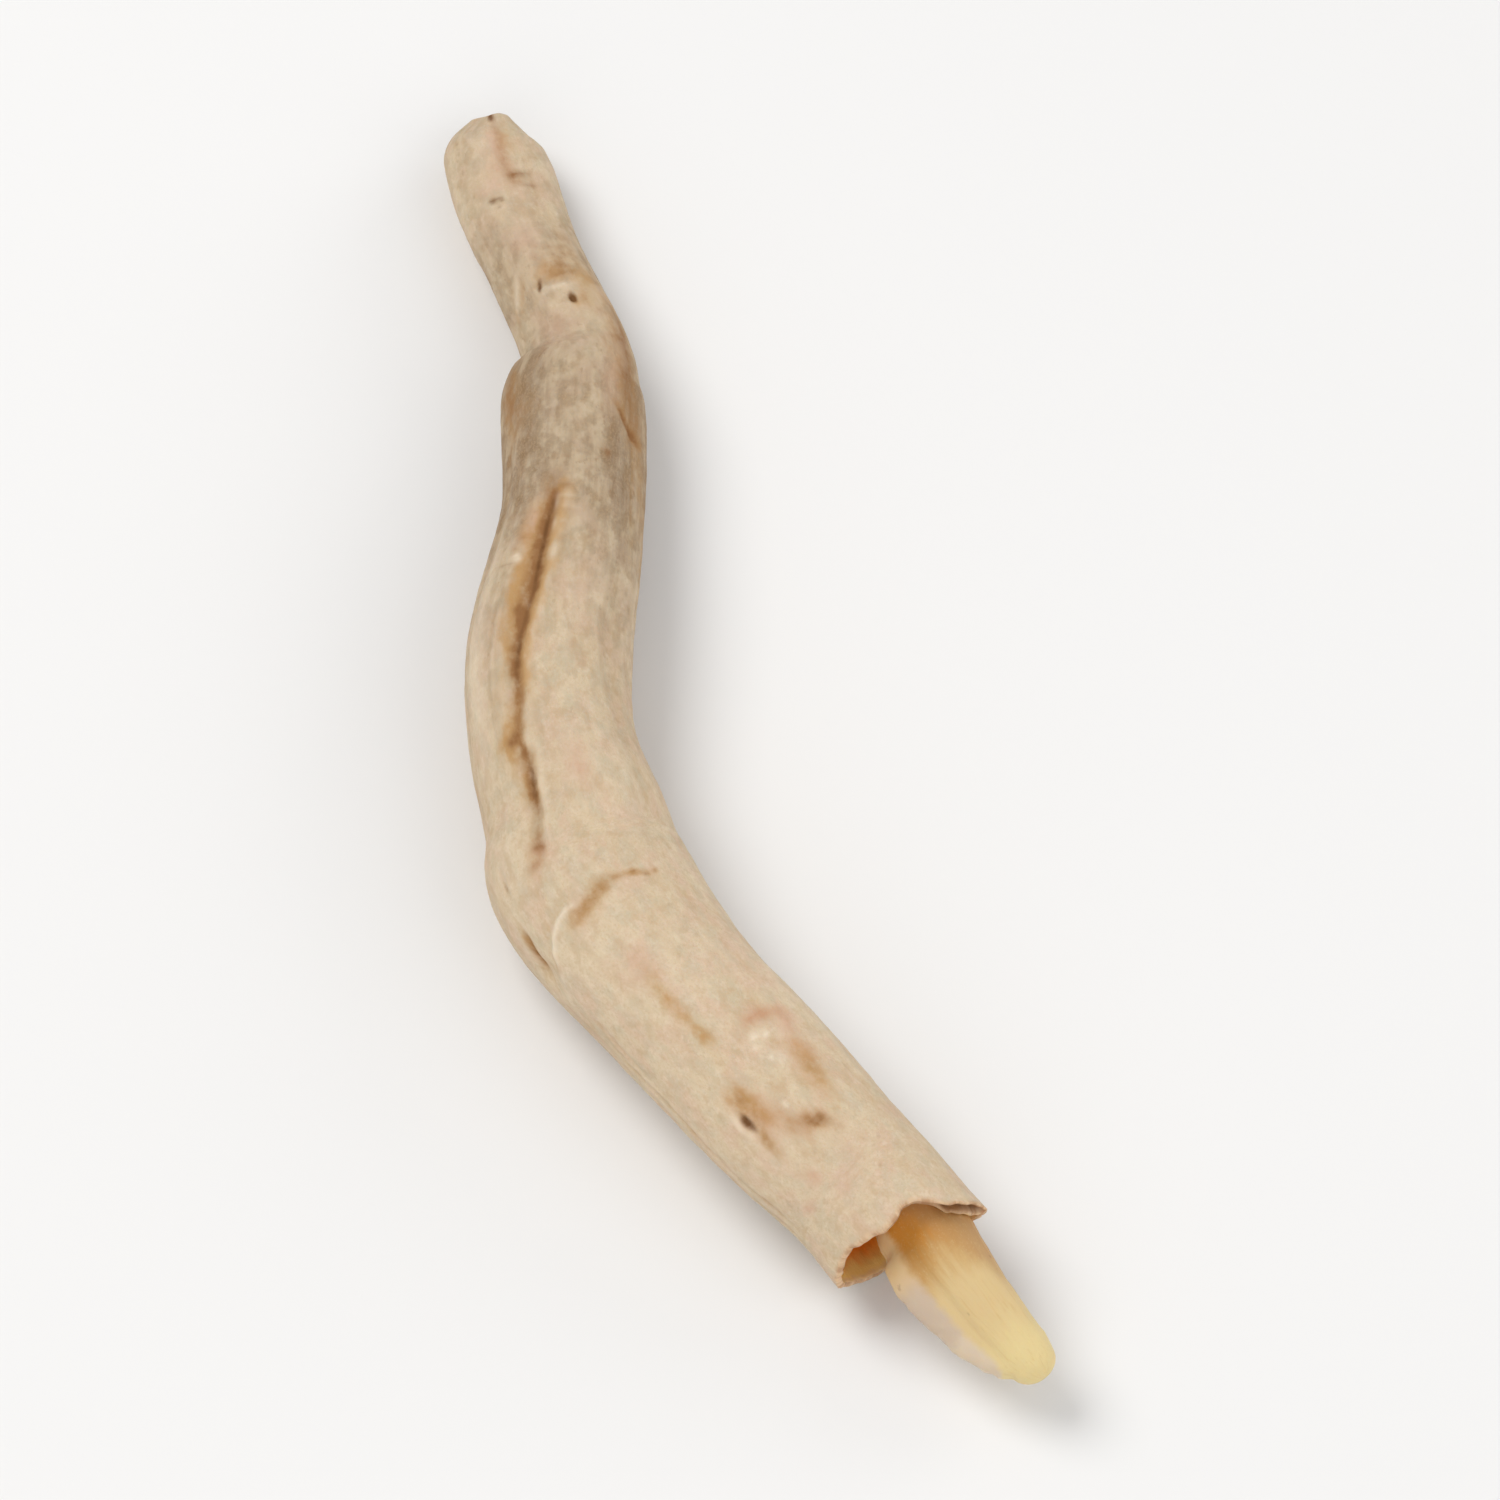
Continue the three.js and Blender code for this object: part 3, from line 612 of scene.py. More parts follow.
# Marks on the skin: along, turn, half length along, half width across, strength
skinMarks = {
    "honey": [
        # top end and neck; the stain at the neck and the marks down its right flank are partly painted shadow
        (1.7, 74, 1.3, 0.5, 0.35), (4, 70, 0.3, 0.6, 0.4), (8.8, 78, 0.8, 1.1, 0.26),
        (9.5, 70, 0.6, 0.9, 0.25), (9.3, 95, 0.5, 0.5, 0.25), (9.5, 88, 0.5, 0.7, 0.25),
        (10, 58, 0.5, 0.5, 0.45), (8, 58, 0.8, 0.5, 0.3), (10.9, 66, 0.6, 0.4, 0.5),
        (11.15, 80, 0.4, 0.2, 0.6), (10.6, 38, 1, 0.6, 0.35), (12.3, 40, 1.3, 0.9, 0.35),
        (14.2, 40, 1.5, 1, 0.4), (16, 34, 1.3, 1, 0.45), (17.5, 24, 1.2, 0.8, 0.4),
        # shoulder, and the right flank below it; both partly painted shadow
        (15.3, 156, 1.4, 0.8, 0.5), (17.3, 148, 1.3, 0.7, 0.4), (16.2, 126, 0.8, 0.6, 0.3),
        (19.6, 18, 1.5, 0.5, 0.45), (22.5, 10, 2.5, 0.4, 0.35),
        # round the fissure
        (21.5, 89, 0.9, 0.5, 0.36), (25.2, 117, 0.8, 0.35, 0.45), (26, 117, 0.8, 0.35, 0.45),
        (29, 104, 0.9, 0.3, 0.3), (31, 121, 0.5, 0.4, 0.5), (31.5, 126, 0.35, 0.5, 0.5),
        (36.9, 128, 0.5, 0.4, 0.3), (38.5, 164, 0.5, 0.3, 0.5),
        # knee: dots at the right end of the stained fold
        (39.05, 78, 0.2, 0.25, 0.45), (39.3, 70, 0.2, 0.22, 0.45), (39.25, 63, 0.18, 0.2, 0.4),
        # lower tube: blotches of the tan streak, and a patch right of it
        (43.95, 112, 0.4, 0.3, 0.25), (45.9, 112, 0.4, 0.3, 0.25), (48.2, 70, 0.6, 0.5, 0.4),
        (48.9, 69, 0.6, 0.55, 0.5), (49.7, 72, 0.6, 0.5, 0.5), (50.5, 76, 0.5, 0.5, 0.35),
        (48.5, 125, 0.6, 0.6, 0.35), (50.9, 97, 0.35, 0.5, 0.4), (49.2, 128, 0.7, 0.7, 0.3),
        (50.4, 110, 0.5, 0.8, 0.1), (49.7, 80, 0.9, 0.7, 0.25),
    ],
    "brown": [
        # top end and neck; the neck's stain and the long marks down its right flank are partly painted shadow
        (3.75, 71, 0.21, 0.5, 0.75), (4.4, 64, 0.2, 0.6, 0.65), (3.95, 80, 0.18, 0.35, 0.4),
        (6.87, 74, 0.2, 0.35, 0.35), (8.5, 79, 0.12, 0.3, 0.3), (8.75, 70, 0.16, 0.25, 0.35),
        (9, 84, 0.1, 0.35, 0.3), (9.2, 74, 0.14, 0.3, 0.35), (9.35, 92, 0.2, 0.2, 0.3),
        (9.6, 82, 0.12, 0.4, 0.3), (9.65, 68, 0.3, 0.5, 0.3), (8.2, 68, 0.15, 0.3, 0.3),
        (11, 66, 0.5, 0.3, 0.3), (9.3, 82, 0.3, 0.4, 0.25), (8.6, 66, 0.9, 0.8, 0.25),
        (12, 37, 1.2, 0.45, 0.45), (13.8, 38, 1.4, 0.5, 0.5), (15.4, 33, 1.3, 0.6, 0.5),
        (16.8, 26, 1, 0.55, 0.45), (12.9, 42, 0.3, 0.5, 0.3), (14.4, 45, 0.35, 0.5, 0.3),
        # shoulder; its soft blotches are partly painted shadow
        (14.9, 160, 1, 0.5, 0.5), (15.9, 150, 0.9, 0.6, 0.5), (16.6, 136, 0.6, 0.45, 0.32),
        (16.4, 120, 0.45, 0.35, 0.2), (17.5, 143, 0.7, 0.4, 0.3), (17.6, 124, 0.5, 0.35, 0.25),
        (18.2, 156, 0.8, 0.4, 0.3), (19.4, 132, 0.7, 0.3, 0.25), (18.58, 59, 0.2, 0.2, 0.75),
        (19.28, 83, 0.14, 0.14, 0.45), (19.47, 74, 0.14, 0.16, 0.45), (19.1, 94, 0.16, 0.16, 0.4),
        (18.2, 75, 0.2, 0.14, 0.25), (20, 66, 0.16, 0.16, 0.3),
        # round the fissure
        (20.5, 92, 0.14, 0.25, 0.5), (20.85, 103, 0.25, 0.3, 0.3), (21.3, 88, 0.5, 0.35, 0.3),
        (20.2, 108, 0.7, 0.5, 0.15), (21.7, 117, 0.12, 0.3, 0.3), (22.9, 121, 0.13, 0.35, 0.35),
        (24.15, 132, 0.12, 0.5, 0.5), (25.3, 111, 0.5, 0.22, 0.35), (26.1, 115, 0.45, 0.25, 0.35),
        (36.05, 124, 0.16, 0.3, 0.4), (36.3, 120, 0.25, 0.16, 0.3), (36.8, 129, 0.18, 0.24, 0.4),
        # knee
        (39, 77, 0.1, 0.13, 0.4), (39.28, 71, 0.1, 0.12, 0.5), (39.22, 64, 0.1, 0.12, 0.4),
        # tan streak, pit and the smudge beside it
        (43.95, 112, 0.2, 0.17, 0.12), (45.95, 112, 0.22, 0.18, 0.15), (48.45, 125, 0.35, 0.3, 0.35),
        (49.3, 125, 0.35, 0.2, 0.3), (50.8, 96, 0.16, 0.35, 0.5), (49.2, 70, 0.6, 0.35, 0.3),
        (49.57, 101, 0.13, 0.12, 0.4), (52.81, 74, 0.15, 0.13, 0.35), (53, 82, 0.13, 0.13, 0.3),
        (54.17, 87, 0.16, 0.1, 0.35), (54.64, 93, 0.13, 0.1, 0.3),
    ],
    "pink": [
        (1.6, 92, 0.9, 0.35, 0.6), (3.3, 96, 1.2, 0.7, 0.4), (4.2, 108, 0.5, 0.5, 0.45),
        (7.4, 98, 1.2, 0.8, 0.4), (12.5, 112, 1.2, 0.9, 0.4), (15.2, 55, 1.4, 0.5, 0.4),
        (22.6, 112, 1.2, 0.4, 0.5), (25.4, 70, 1.3, 0.7, 0.3), (33, 84, 1.2, 0.5, 0.5),
        (36.2, 62, 1, 0.6, 0.3), (42.4, 112, 0.9, 0.7, 0.5), (44, 60, 1.2, 0.7, 0.3),
        (47.2, 62, 0.5, 0.35, 0.5), (48.6, 67, 0.8, 0.5, 0.5), (49.4, 124, 0.9, 0.7, 0.5),
        (52.15, 127, 0.5, 0.4, 0.6), (53.04, 144, 0.5, 0.4, 0.5), (53.6, 112, 0.9, 0.9, 0.4),
        (52.5, 96, 0.8, 0.6, 0.35),
    ],
    "flush": [
        (3.2, 98, 0.9, 0.5, 0.25), (14, 50, 1.5, 0.5, 0.3), (22.3, 113, 1, 0.35, 0.5),
        (23.1, 118, 0.6, 0.35, 0.4), (36.1, 123, 0.3, 0.42, 0.8), (36.5, 119, 0.35, 0.22, 0.5),
        (36.85, 129, 0.3, 0.35, 0.8), (36.5, 125, 0.5, 0.4, 0.3), (42.6, 112, 0.7, 0.5, 0.3),
        (46.5, 74, 0.4, 0.6, 0.3), (47.3, 62, 0.5, 0.3, 0.4), (48.6, 68, 0.8, 0.6, 0.45),
        (49.4, 122, 0.9, 0.9, 0.5), (50.7, 102, 0.5, 0.8, 0.35), (52.15, 127, 0.4, 0.3, 0.4),
        (53.04, 144, 0.4, 0.3, 0.3), (33.2, 86, 0.7, 0.35, 0.3),
    ],
    "dark": [
        (4.98, 114, 0.2, 0.22, 0.65), (4.98, 104, 0.19, 0.2, 0.6), (5.4, 110, 0.16, 0.2, 0.4),
        (4.19, 144, 0.12, 0.15, 0.3), (9.55, 102.5, 0.12, 0.13, 0.5), (9.72, 106, 0.16, 0.12, 0.9),
        (9.95, 109, 0.17, 0.1, 0.8), (10.82, 80, 0.24, 0.15, 1), (11, 80, 0.22, 0.12, 0.5),
        (24.12, 124, 0.1, 0.2, 0.35), (24.05, 132, 0.09, 0.3, 0.35), (36.68, 154, 0.3, 0.1, 0.55),
        (38.85, 168, 0.4, 0.12, 0.4), (49.2, 131.5, 0.36, 0.15, 1), (49.6, 130.5, 0.25, 0.13, 0.5),
    ],
    "paleAndHighlight": [
        # pale spots, most of them painted highlights: on the neck's ledge, the fissure's lips, the knee, the
        # rim of the pit and small swellings of the lower tube
        (9.9, 103, 0.1, 0.25, 0.35), (10.06, 92, 0.12, 0.5, 0.45), (10.2, 78, 0.12, 0.5, 0.3),
        (16.6, 108, 0.15, 0.3, 0.3), (20.95, 90, 0.14, 0.35, 0.45), (21.4, 88, 0.13, 0.3, 0.45),
        (21.3, 97, 0.35, 0.12, 0.4), (22.3, 96, 0.35, 0.12, 0.4), (23.84, 122, 0.2, 0.2, 0.9),
        (24, 119, 0.15, 0.15, 0.5), (38.1, 158, 0.18, 0.14, 0.7), (47.1, 87, 0.14, 0.2, 1.2),
        (47.25, 79, 0.13, 0.17, 1.1), (47.45, 92, 0.13, 0.12, 1), (47, 82, 0.3, 0.6, 0.3),
        (47.5, 72, 0.25, 0.2, 0.4), (48.3, 84, 0.35, 0.4, 0.35), (48.05, 89, 0.1, 0.12, 0.8),
        (49.75, 104, 0.12, 0.1, 0.9), (48.85, 135.5, 0.26, 0.12, 0.5), (49.25, 137, 0.3, 0.13, 0.6),
        (49.7, 135, 0.18, 0.2, 0.5), (25.5, 148, 3, 0.6, 0.35), (29.5, 150, 3, 0.6, 0.4),
    ],
}

# Stains and painted shade at the torn edge, row by row from the skin inwards. The split's brown and dark are
# partly painted shade in its gap, and the brown under the top of the rim is painted shade.
tearStainsAndShade = {
    "skinRows": [0.3, 0.8],                                # how torn the last rows of skin look
    "splitBrownAndShade": [0.7, 1, 0.9, 0.4], "splitGapShade": [0.5, 0.4],
    "topTurn": 80, "topReach": 45, "topFade": 20,
    "topRimShade": 0.5, "boreRimShade": [0.5, 0.4, 0.25],
}

# How grey and grimy the skin is along the root, how much of that on top, and how much more on the flanks. It
# is partly real grime and partly painted shade, most of all on the shoulder and the flanks.
grimeAndShade = {
    "along": [
        (0, 0.2), (5, 0.2), (8, 0.66), (9.6, 0.7), (10.8, 0.36), (13, 0.62), (15, 1.15), (18.6, 1.25),
        (20.6, 1.1), (22.2, 0.8), (24.2, 0.42), (31, 0.15), (37, 0.04), (40, 0),
    ],
    "topTurn": 84, "topWidth": 32, "onTop": 0.62, "onFlanks": 0.48, "patchy": 0.3,
}


# Stains in and beside the fissure, and a painted highlight on its right lip
def fissureStains(field):
    _, depth, darkness, slope, brownness = fissureAt(field["along"])
    across = field["across"]
    broken = np.clip(1.05 + 0.35 * field["rough"] + 0.4 * field["small"], 0.7, 1.4)
    blotches = np.clip(0.85 + 0.9 * field["blotch"], 0.3, 1.5)
    onRight = lerp(*fissure["rightHoney"], easeBetween(field["along"], *fissure["fainter"]))
    onRight = onRight * hump(across, fissure["rightWidth"])
    beside = np.where(across > 0, hump(across, 1.15 * slope + 0.15), onRight)
    dark, darkWidth = fissure["darkLine"]
    brown, brownWidth = fissure["brownLine"]
    paleAndHighlight, paleWidth = fissure["paleEdgeHighlight"]
    inGroove = brown * darkness * broken * hump(across - 0.08, brownWidth)
    onSlope = fissure["brownSlope"] * brownness * blotches * hump(across - 0.25 * slope, 0.22 + 0.34 * slope)
    return {
        "dark": dark * darkness ** 2 * broken * hump(across - 0.05, darkWidth),
        "brown": inGroove + onSlope,
        "honey": fissure["honey"] * np.maximum(brownness, 0.7 * darkness) * blotches * beside,
        "paleAndHighlight": paleAndHighlight * depth * hump(across + 0.5, paleWidth) * np.minimum(broken, 1.2),
    }


# Where the skin is stained and grimy, from its listed marks, with painted shade in its hollows and a painted
# highlight on its ridges, from its relief
def skinValues(field):
    along, turn, radius, small = (field[name] for name in ("along", "turn", "radius", "small"))
    values = {}
    for name, spots in skinMarks.items():
        moved, aside = along + relief["marksAlong"] * field["rough"], relief["marksAside"] * small
        values[name] = sum(spotShape(spot, moved, turn, radius, aside) for spot in spots)
    for name, stain in fissureStains(field).items():
        values[name] += stain
    for name, strength in topCrack["marks"].items():
        values[name] += strength * field["crack"]
    notch = 1 - easeBetween(along, *topCrack["notchReach"])
    values["dark"] += topCrack["notchDark"] * field["crack"] * notch
    for places, width, _, strengths in lines:
        shape = lineShape(places, width, along + relief["stainsAlong"] * small, turn, radius)
        for name, strength in strengths.items():
            values[name] += strength * shape
    # painted shade in the hollows and a painted highlight on the ridges
    above = (field["height"] - blurred(field["height"], relief["blurs"])) / relief["shadedFrom"]
    values["foldShade"] = np.clip(-above, 0, 1)
    values["raised"] = np.clip(above, 0, 1)
    # grime, partly painted shade, stronger on the flanks than on top
    shadedFlank = 1 - hump(turnFrom(turn, grimeAndShade["topTurn"]), grimeAndShade["topWidth"])
    dirtAndShade = easeThrough(grimeAndShade["along"], along) * (grimeAndShade["onTop"] + grimeAndShade["onFlanks"] * shadedFlank)
    values["grimeAndShade"] = dirtAndShade * (1 + grimeAndShade["patchy"] * field["wander"])
    return {name: np.clip(value, 0, 1.2) for name, value in values.items()}


# How far along and at which turn the points of the skin lie
def skinPlaces():
    rows = crowdedSteps(sleeveLine.length, sleeve["rows"], sleeve["rowCrowds"])[:, None]
    columns = np.arange(sleeve["columns"]) * 360 / sleeve["columns"]
    crowd, first, last, start, drift = sleeve["columnCrowd"]
    crowdTurn = start + drift * (np.clip(rows, first, last) - first)
    turn = crowdTurn + columns - np.degrees(crowd * np.sin(np.radians(columns)))
    return leanToTear(rows + 0 * turn, turn), turn


# Rows of the cut face, as shares of the way from the bore to the skin
def faceShares():
    return np.linspace(0, 1, sleeve["faceRows"] + 2)[1:-1]


# Cut face at the top, from the bore out to the skin
def cutFace(inside, outside):
    out = faceShares()
    face = lerp(inside, outside, out[:, None, None])
    height = sleeve["faceRough"] * bumpsAt(face, *sleeve["faceGrain"])
    height += sleeve["faceBulge"] * np.sin(math.pi * out)[:, None]
    _, side, up = sleeveLine.section(np.array([0.0]))
    return face - np.cross(side, up) * height[..., None]


# Rim of the tear, from the skin to the bore. On the right the wall has split into two layers.
def tornRim(outer, inside, skin):
    shares, whole, split = np.array(sleeve["rim"]).T[..., None]
    standsOut = lerp(whole * (1 + 0.9 * skin["rough"][-1]), split, splitShare(skin["turn"][-1]))
    ahead = unit(outer[-1] - outer[-3])
    return lerp(outer[-1], inside, shares[..., None]) + ahead * standsOut[..., None]


def inRows(values):
    return np.array(values)[:, None]


# Marks of all the sleeve's rows. The face and the rim carry on those of the skin's edge. The bore keeps its
# places alone, and has no stains but those of the torn edge.
def sleeveMarks(skin, boreRows):
    kept = {name: skin[name] for name in ("straight", "along", "turn")}
    faceRows, rimRows = sleeve["faceRows"], len(sleeve["rim"])
    marks = {}
    for name, values in {**skinValues(skin), **kept}.items():
        face, rim = values[:1].repeat(faceRows, 0), values[-1:].repeat(rimRows, 0)
        marks[name] = np.concatenate([face, values, rim, values[boreRows] * (name in kept)])
    marks["straight"][:faceRows, :, :2] *= lerp(0.4, 1, faceShares())[:, None, None]
    along, turn = marks.pop("along"), marks.pop("turn")

    rimStart = faceRows + sleeve["rows"]
    boreStart = rimStart + rimRows
    row = np.arange(len(along))[:, None] + 0 * along
    marks["cut"] = 1.0 * (row < faceRows)
    marks["tear"] = 1.0 * ((row >= rimStart) & (row < boreStart))
    marks["tear"][rimStart - 2:rimStart] = inRows(tearStainsAndShade["skinRows"])
    marks["inside"] = 1.0 * (row >= boreStart)
    marks["deep"] = marks["inside"] * np.clip(tornEdge(turn) - along, 0, 9)

    edge, reach = skin["turn"][-1], tearStainsAndShade["topReach"]
    split = splitShare(edge)
    topEdge = within(turnFrom(edge, tearStainsAndShade["topTurn"]), -reach, reach, tearStainsAndShade["topFade"])
    # the brown of the split and the dark in its gap are partly painted shade; the brown under the top of the
    # rim and a little way into the bore is painted shade
    marks["brown"][rimStart + 1:rimStart + 5] = inRows(tearStainsAndShade["splitBrownAndShade"]) * split
    marks["brown"][rimStart + 2:boreStart] += tearStainsAndShade["topRimShade"] * topEdge
    marks["brown"][boreStart:boreStart + 3] += inRows(tearStainsAndShade["boreRimShade"]) * topEdge
    marks["dark"][rimStart + 2:rimStart + 4] = inRows(tearStainsAndShade["splitGapShade"]) * split
    return marks


# The whole sleeve is one grid: cut face, skin, rim of the tear, and the bore back up to the top
def makeSleeve():
    skin = skinField(*skinPlaces())
    outer = settled(skinPoints(skin, 0))
    last = sleeve["rows"] - 1
    upward = np.linspace(0, 1, sleeve["boreRows"]) ** sleeve["boreCrowd"]
    boreRows = last - np.unique(np.round(upward * last).astype(int))
    inner = borePoints({name: values[boreRows] for name, values in skin.items()})
    grid = np.concatenate([cutFace(inner[-1], outer[0]), outer, tornRim(outer, inner[0], skin), inner])
    return meshOfGrid("root_skin", grid, sleeveMarks(skin, boreRows), capped=False)


def makeCore():
    line = coreCentre()
    length = line.length
    crowds = [(length, *crowd) for crowd in core["tipCrowds"]] + [(0, *core["topCrowd"])]
    rows = crowdedSteps(length, core["rows"], crowds)
    columns = np.arange(core["columns"]) * 360 / core["columns"]
    along, turn = np.meshgrid(rows, columns, indexing="ij")
    radius = easeThrough(core["radii"], along)
    straight = straightened(radius, turn, along)
    fibres, lumps, rough, wander = (bumpsAt(straight, *values) for values in core["noise"])
    wood = radius + core["fibres"] * fibres
    wood += core["lumps"] * lumps + core["rough"] * rough
    out, shape = shelfShape(along, turn, wander)
    # the tip is blunt and a little frayed, and the top end is cut flat
    fromTip = np.clip((length - along) / core["tipRound"], 0, 1)
    fromTop = np.clip((along + 0.02) / core["topRound"], 0, 1)
    end = np.sqrt(1 - (1 - fromTip) ** 2) * np.sqrt(1 - (1 - fromTop) ** 2)
    full = wood * np.maximum(end, core["leastEnd"]) + out * shape * (1 + shelf["rough"] * rough)
    angle = np.radians(turn)
    points = onSection(*line.section(along), full * np.cos(angle), core["thickness"] * full * np.sin(angle))
    clings = shape * easeBetween(out, *shelf["clings"])
    marks = {"straight": straight, "fromTip": length - along, "clings": clings, "rightness": np.cos(angle)}
    return meshOfGrid("woody_core", points, marks, capped=True)


rootSkin = makeSleeve()
print("sleeve", len(rootSkin.data.polygons), "faces")
woodyCore = makeCore()
print("core", len(woodyCore.data.polygons), "faces")


# materials

# A node's output socket, so that shader maths reads as maths
class Signal:
    tree = None                # the node tree that is being built

    def __init__(self, socket):
        self.socket = socket

    # Any node by its type: its settings come first, then the values or links of its sockets
    @classmethod
    def of(cls, kind, settings, sockets=None, out=0):
        made = cls.tree.nodes.new("ShaderNode" + kind)
        for name, value in settings.items():
            setattr(made, name, value)
        for name, value in (sockets or {}).items():
            if isinstance(value, cls):
                cls.tree.links.new(value.socket, made.inputs[name])
            else:
                made.inputs[name].default_value = value
        return cls(made.outputs[out])

    @classmethod
    def maths(cls, operation, first, second):
        return cls.of("Math", {"operation": operation}, {0: first, 1: second})

    def __add__(self, other):
        return self.maths("ADD", self, other)

    def __sub__(self, other):
        return self.maths("SUBTRACT", self, other)

    def __rsub__(self, other):
        return self.maths("SUBTRACT", other, self)

    def __mul__(self, other):
        return self.maths("MULTIPLY", self, other)

    __radd__ = __add__
    __rmul__ = __mul__


def mark(name):
    return Signal.of("Attribute", {"attribute_name": name}, out="Fac")


# 0 up to low and 1 from high on, eased between
def rise(value, low, high):
    sockets = {"Value": value, "From Min": low, "From Max": high}
    return Signal.of("MapRange", {"interpolation_type": "SMOOTHSTEP"}, sockets)


# Places in the straightened root, counted in patches of a size across and along in mm
def placesIn(across, along, seed):
    straight = Signal.of("Attribute", {"attribute_name": "straight"}, out="Vector")
    scale = (1 / across, 1 / across, 1 / along)
    return Signal.of("VectorMath", {"operation": "MULTIPLY_ADD"}, {0: straight, 1: scale, 2: (seed,) * 3})


# Noise from 0 to 1
def patches(across, along, detail, rough, seed):
    sockets = {"Vector": placesIn(across, along, seed), "Scale": 1.0, "Detail": detail, "Roughness": rough}
    return Signal.of("TexNoise", {}, sockets)


# Small specks, 1 in their middle
def specks(across, along, size, seed):
    sockets = {"Vector": placesIn(across, along, seed), "Scale": 1.0}
    return 1 - rise(Signal.of("TexVoronoi", {}, sockets, out="Distance"), size * 0.4, size)


# Fine relief that is left to the shading
def bumped(height, strength):
    sockets = {"Strength": strength, "Distance": 0.06 * mm, "Height": height}
    return Signal.of("Bump", {}, sockets, out="Normal")


def blend(first, second, share):
    return Signal.of("Mix", {"data_type": "RGBA"}, {0: share, 6: first, 7: second}, out=2)


# A colour with tones laid over it, each as (tone, share of the surface that it takes)
def layered(colour, tones, layers):
    for tone, share in layers:
        colour = blend(colour, tones[tone], share)
    return colour


# A colour as it shows on screen, red, green and blue to 255, as the shader's linear colour
def paint(red, green, blue):
    def linear(value):
        share = value / 255
        return share / 12.92 if share <= 0.04045 else ((share + 0.055) / 1.055) ** 2.4
    return (linear(red), linear(green), linear(blue), 1.0)


def dress(piece, name, build):
    material = bpy.data.materials.new(name)
    material.use_nodes = True
    material.node_tree.nodes.clear()
    Signal.tree = material.node_tree
    shader = build()
    output = material.node_tree.nodes.new("ShaderNodeOutputMaterial")
    material.node_tree.links.new(shader.socket, output.inputs["Surface"])
    piece.data.materials.append(material)
    print("material", name)


skinTones = {
    "cream": paint(210, 190, 159), "tan": paint(190, 161, 125), "rosy": paint(205, 169, 146),
    "moss": paint(190, 176, 148), "paleAndHighlight": paint(230, 213, 188), "ash": paint(157, 135, 109),
    "drab": paint(128, 99, 65), "flush": paint(192, 148, 114), "honey": paint(182, 140, 86),
    "brown": paint(136, 91, 48), "umber": paint(102, 62, 18),
    # where it was cut or torn, and inside the bore; the amber and orange there are partly painted glow of
    # light through the thin wall
    "wall": paint(218, 186, 150), "edge": paint(186, 146, 110), "lip": paint(240, 204, 150),
    "amber": paint(255, 216, 130), "orangeAndGlow": paint(255, 152, 46),
}


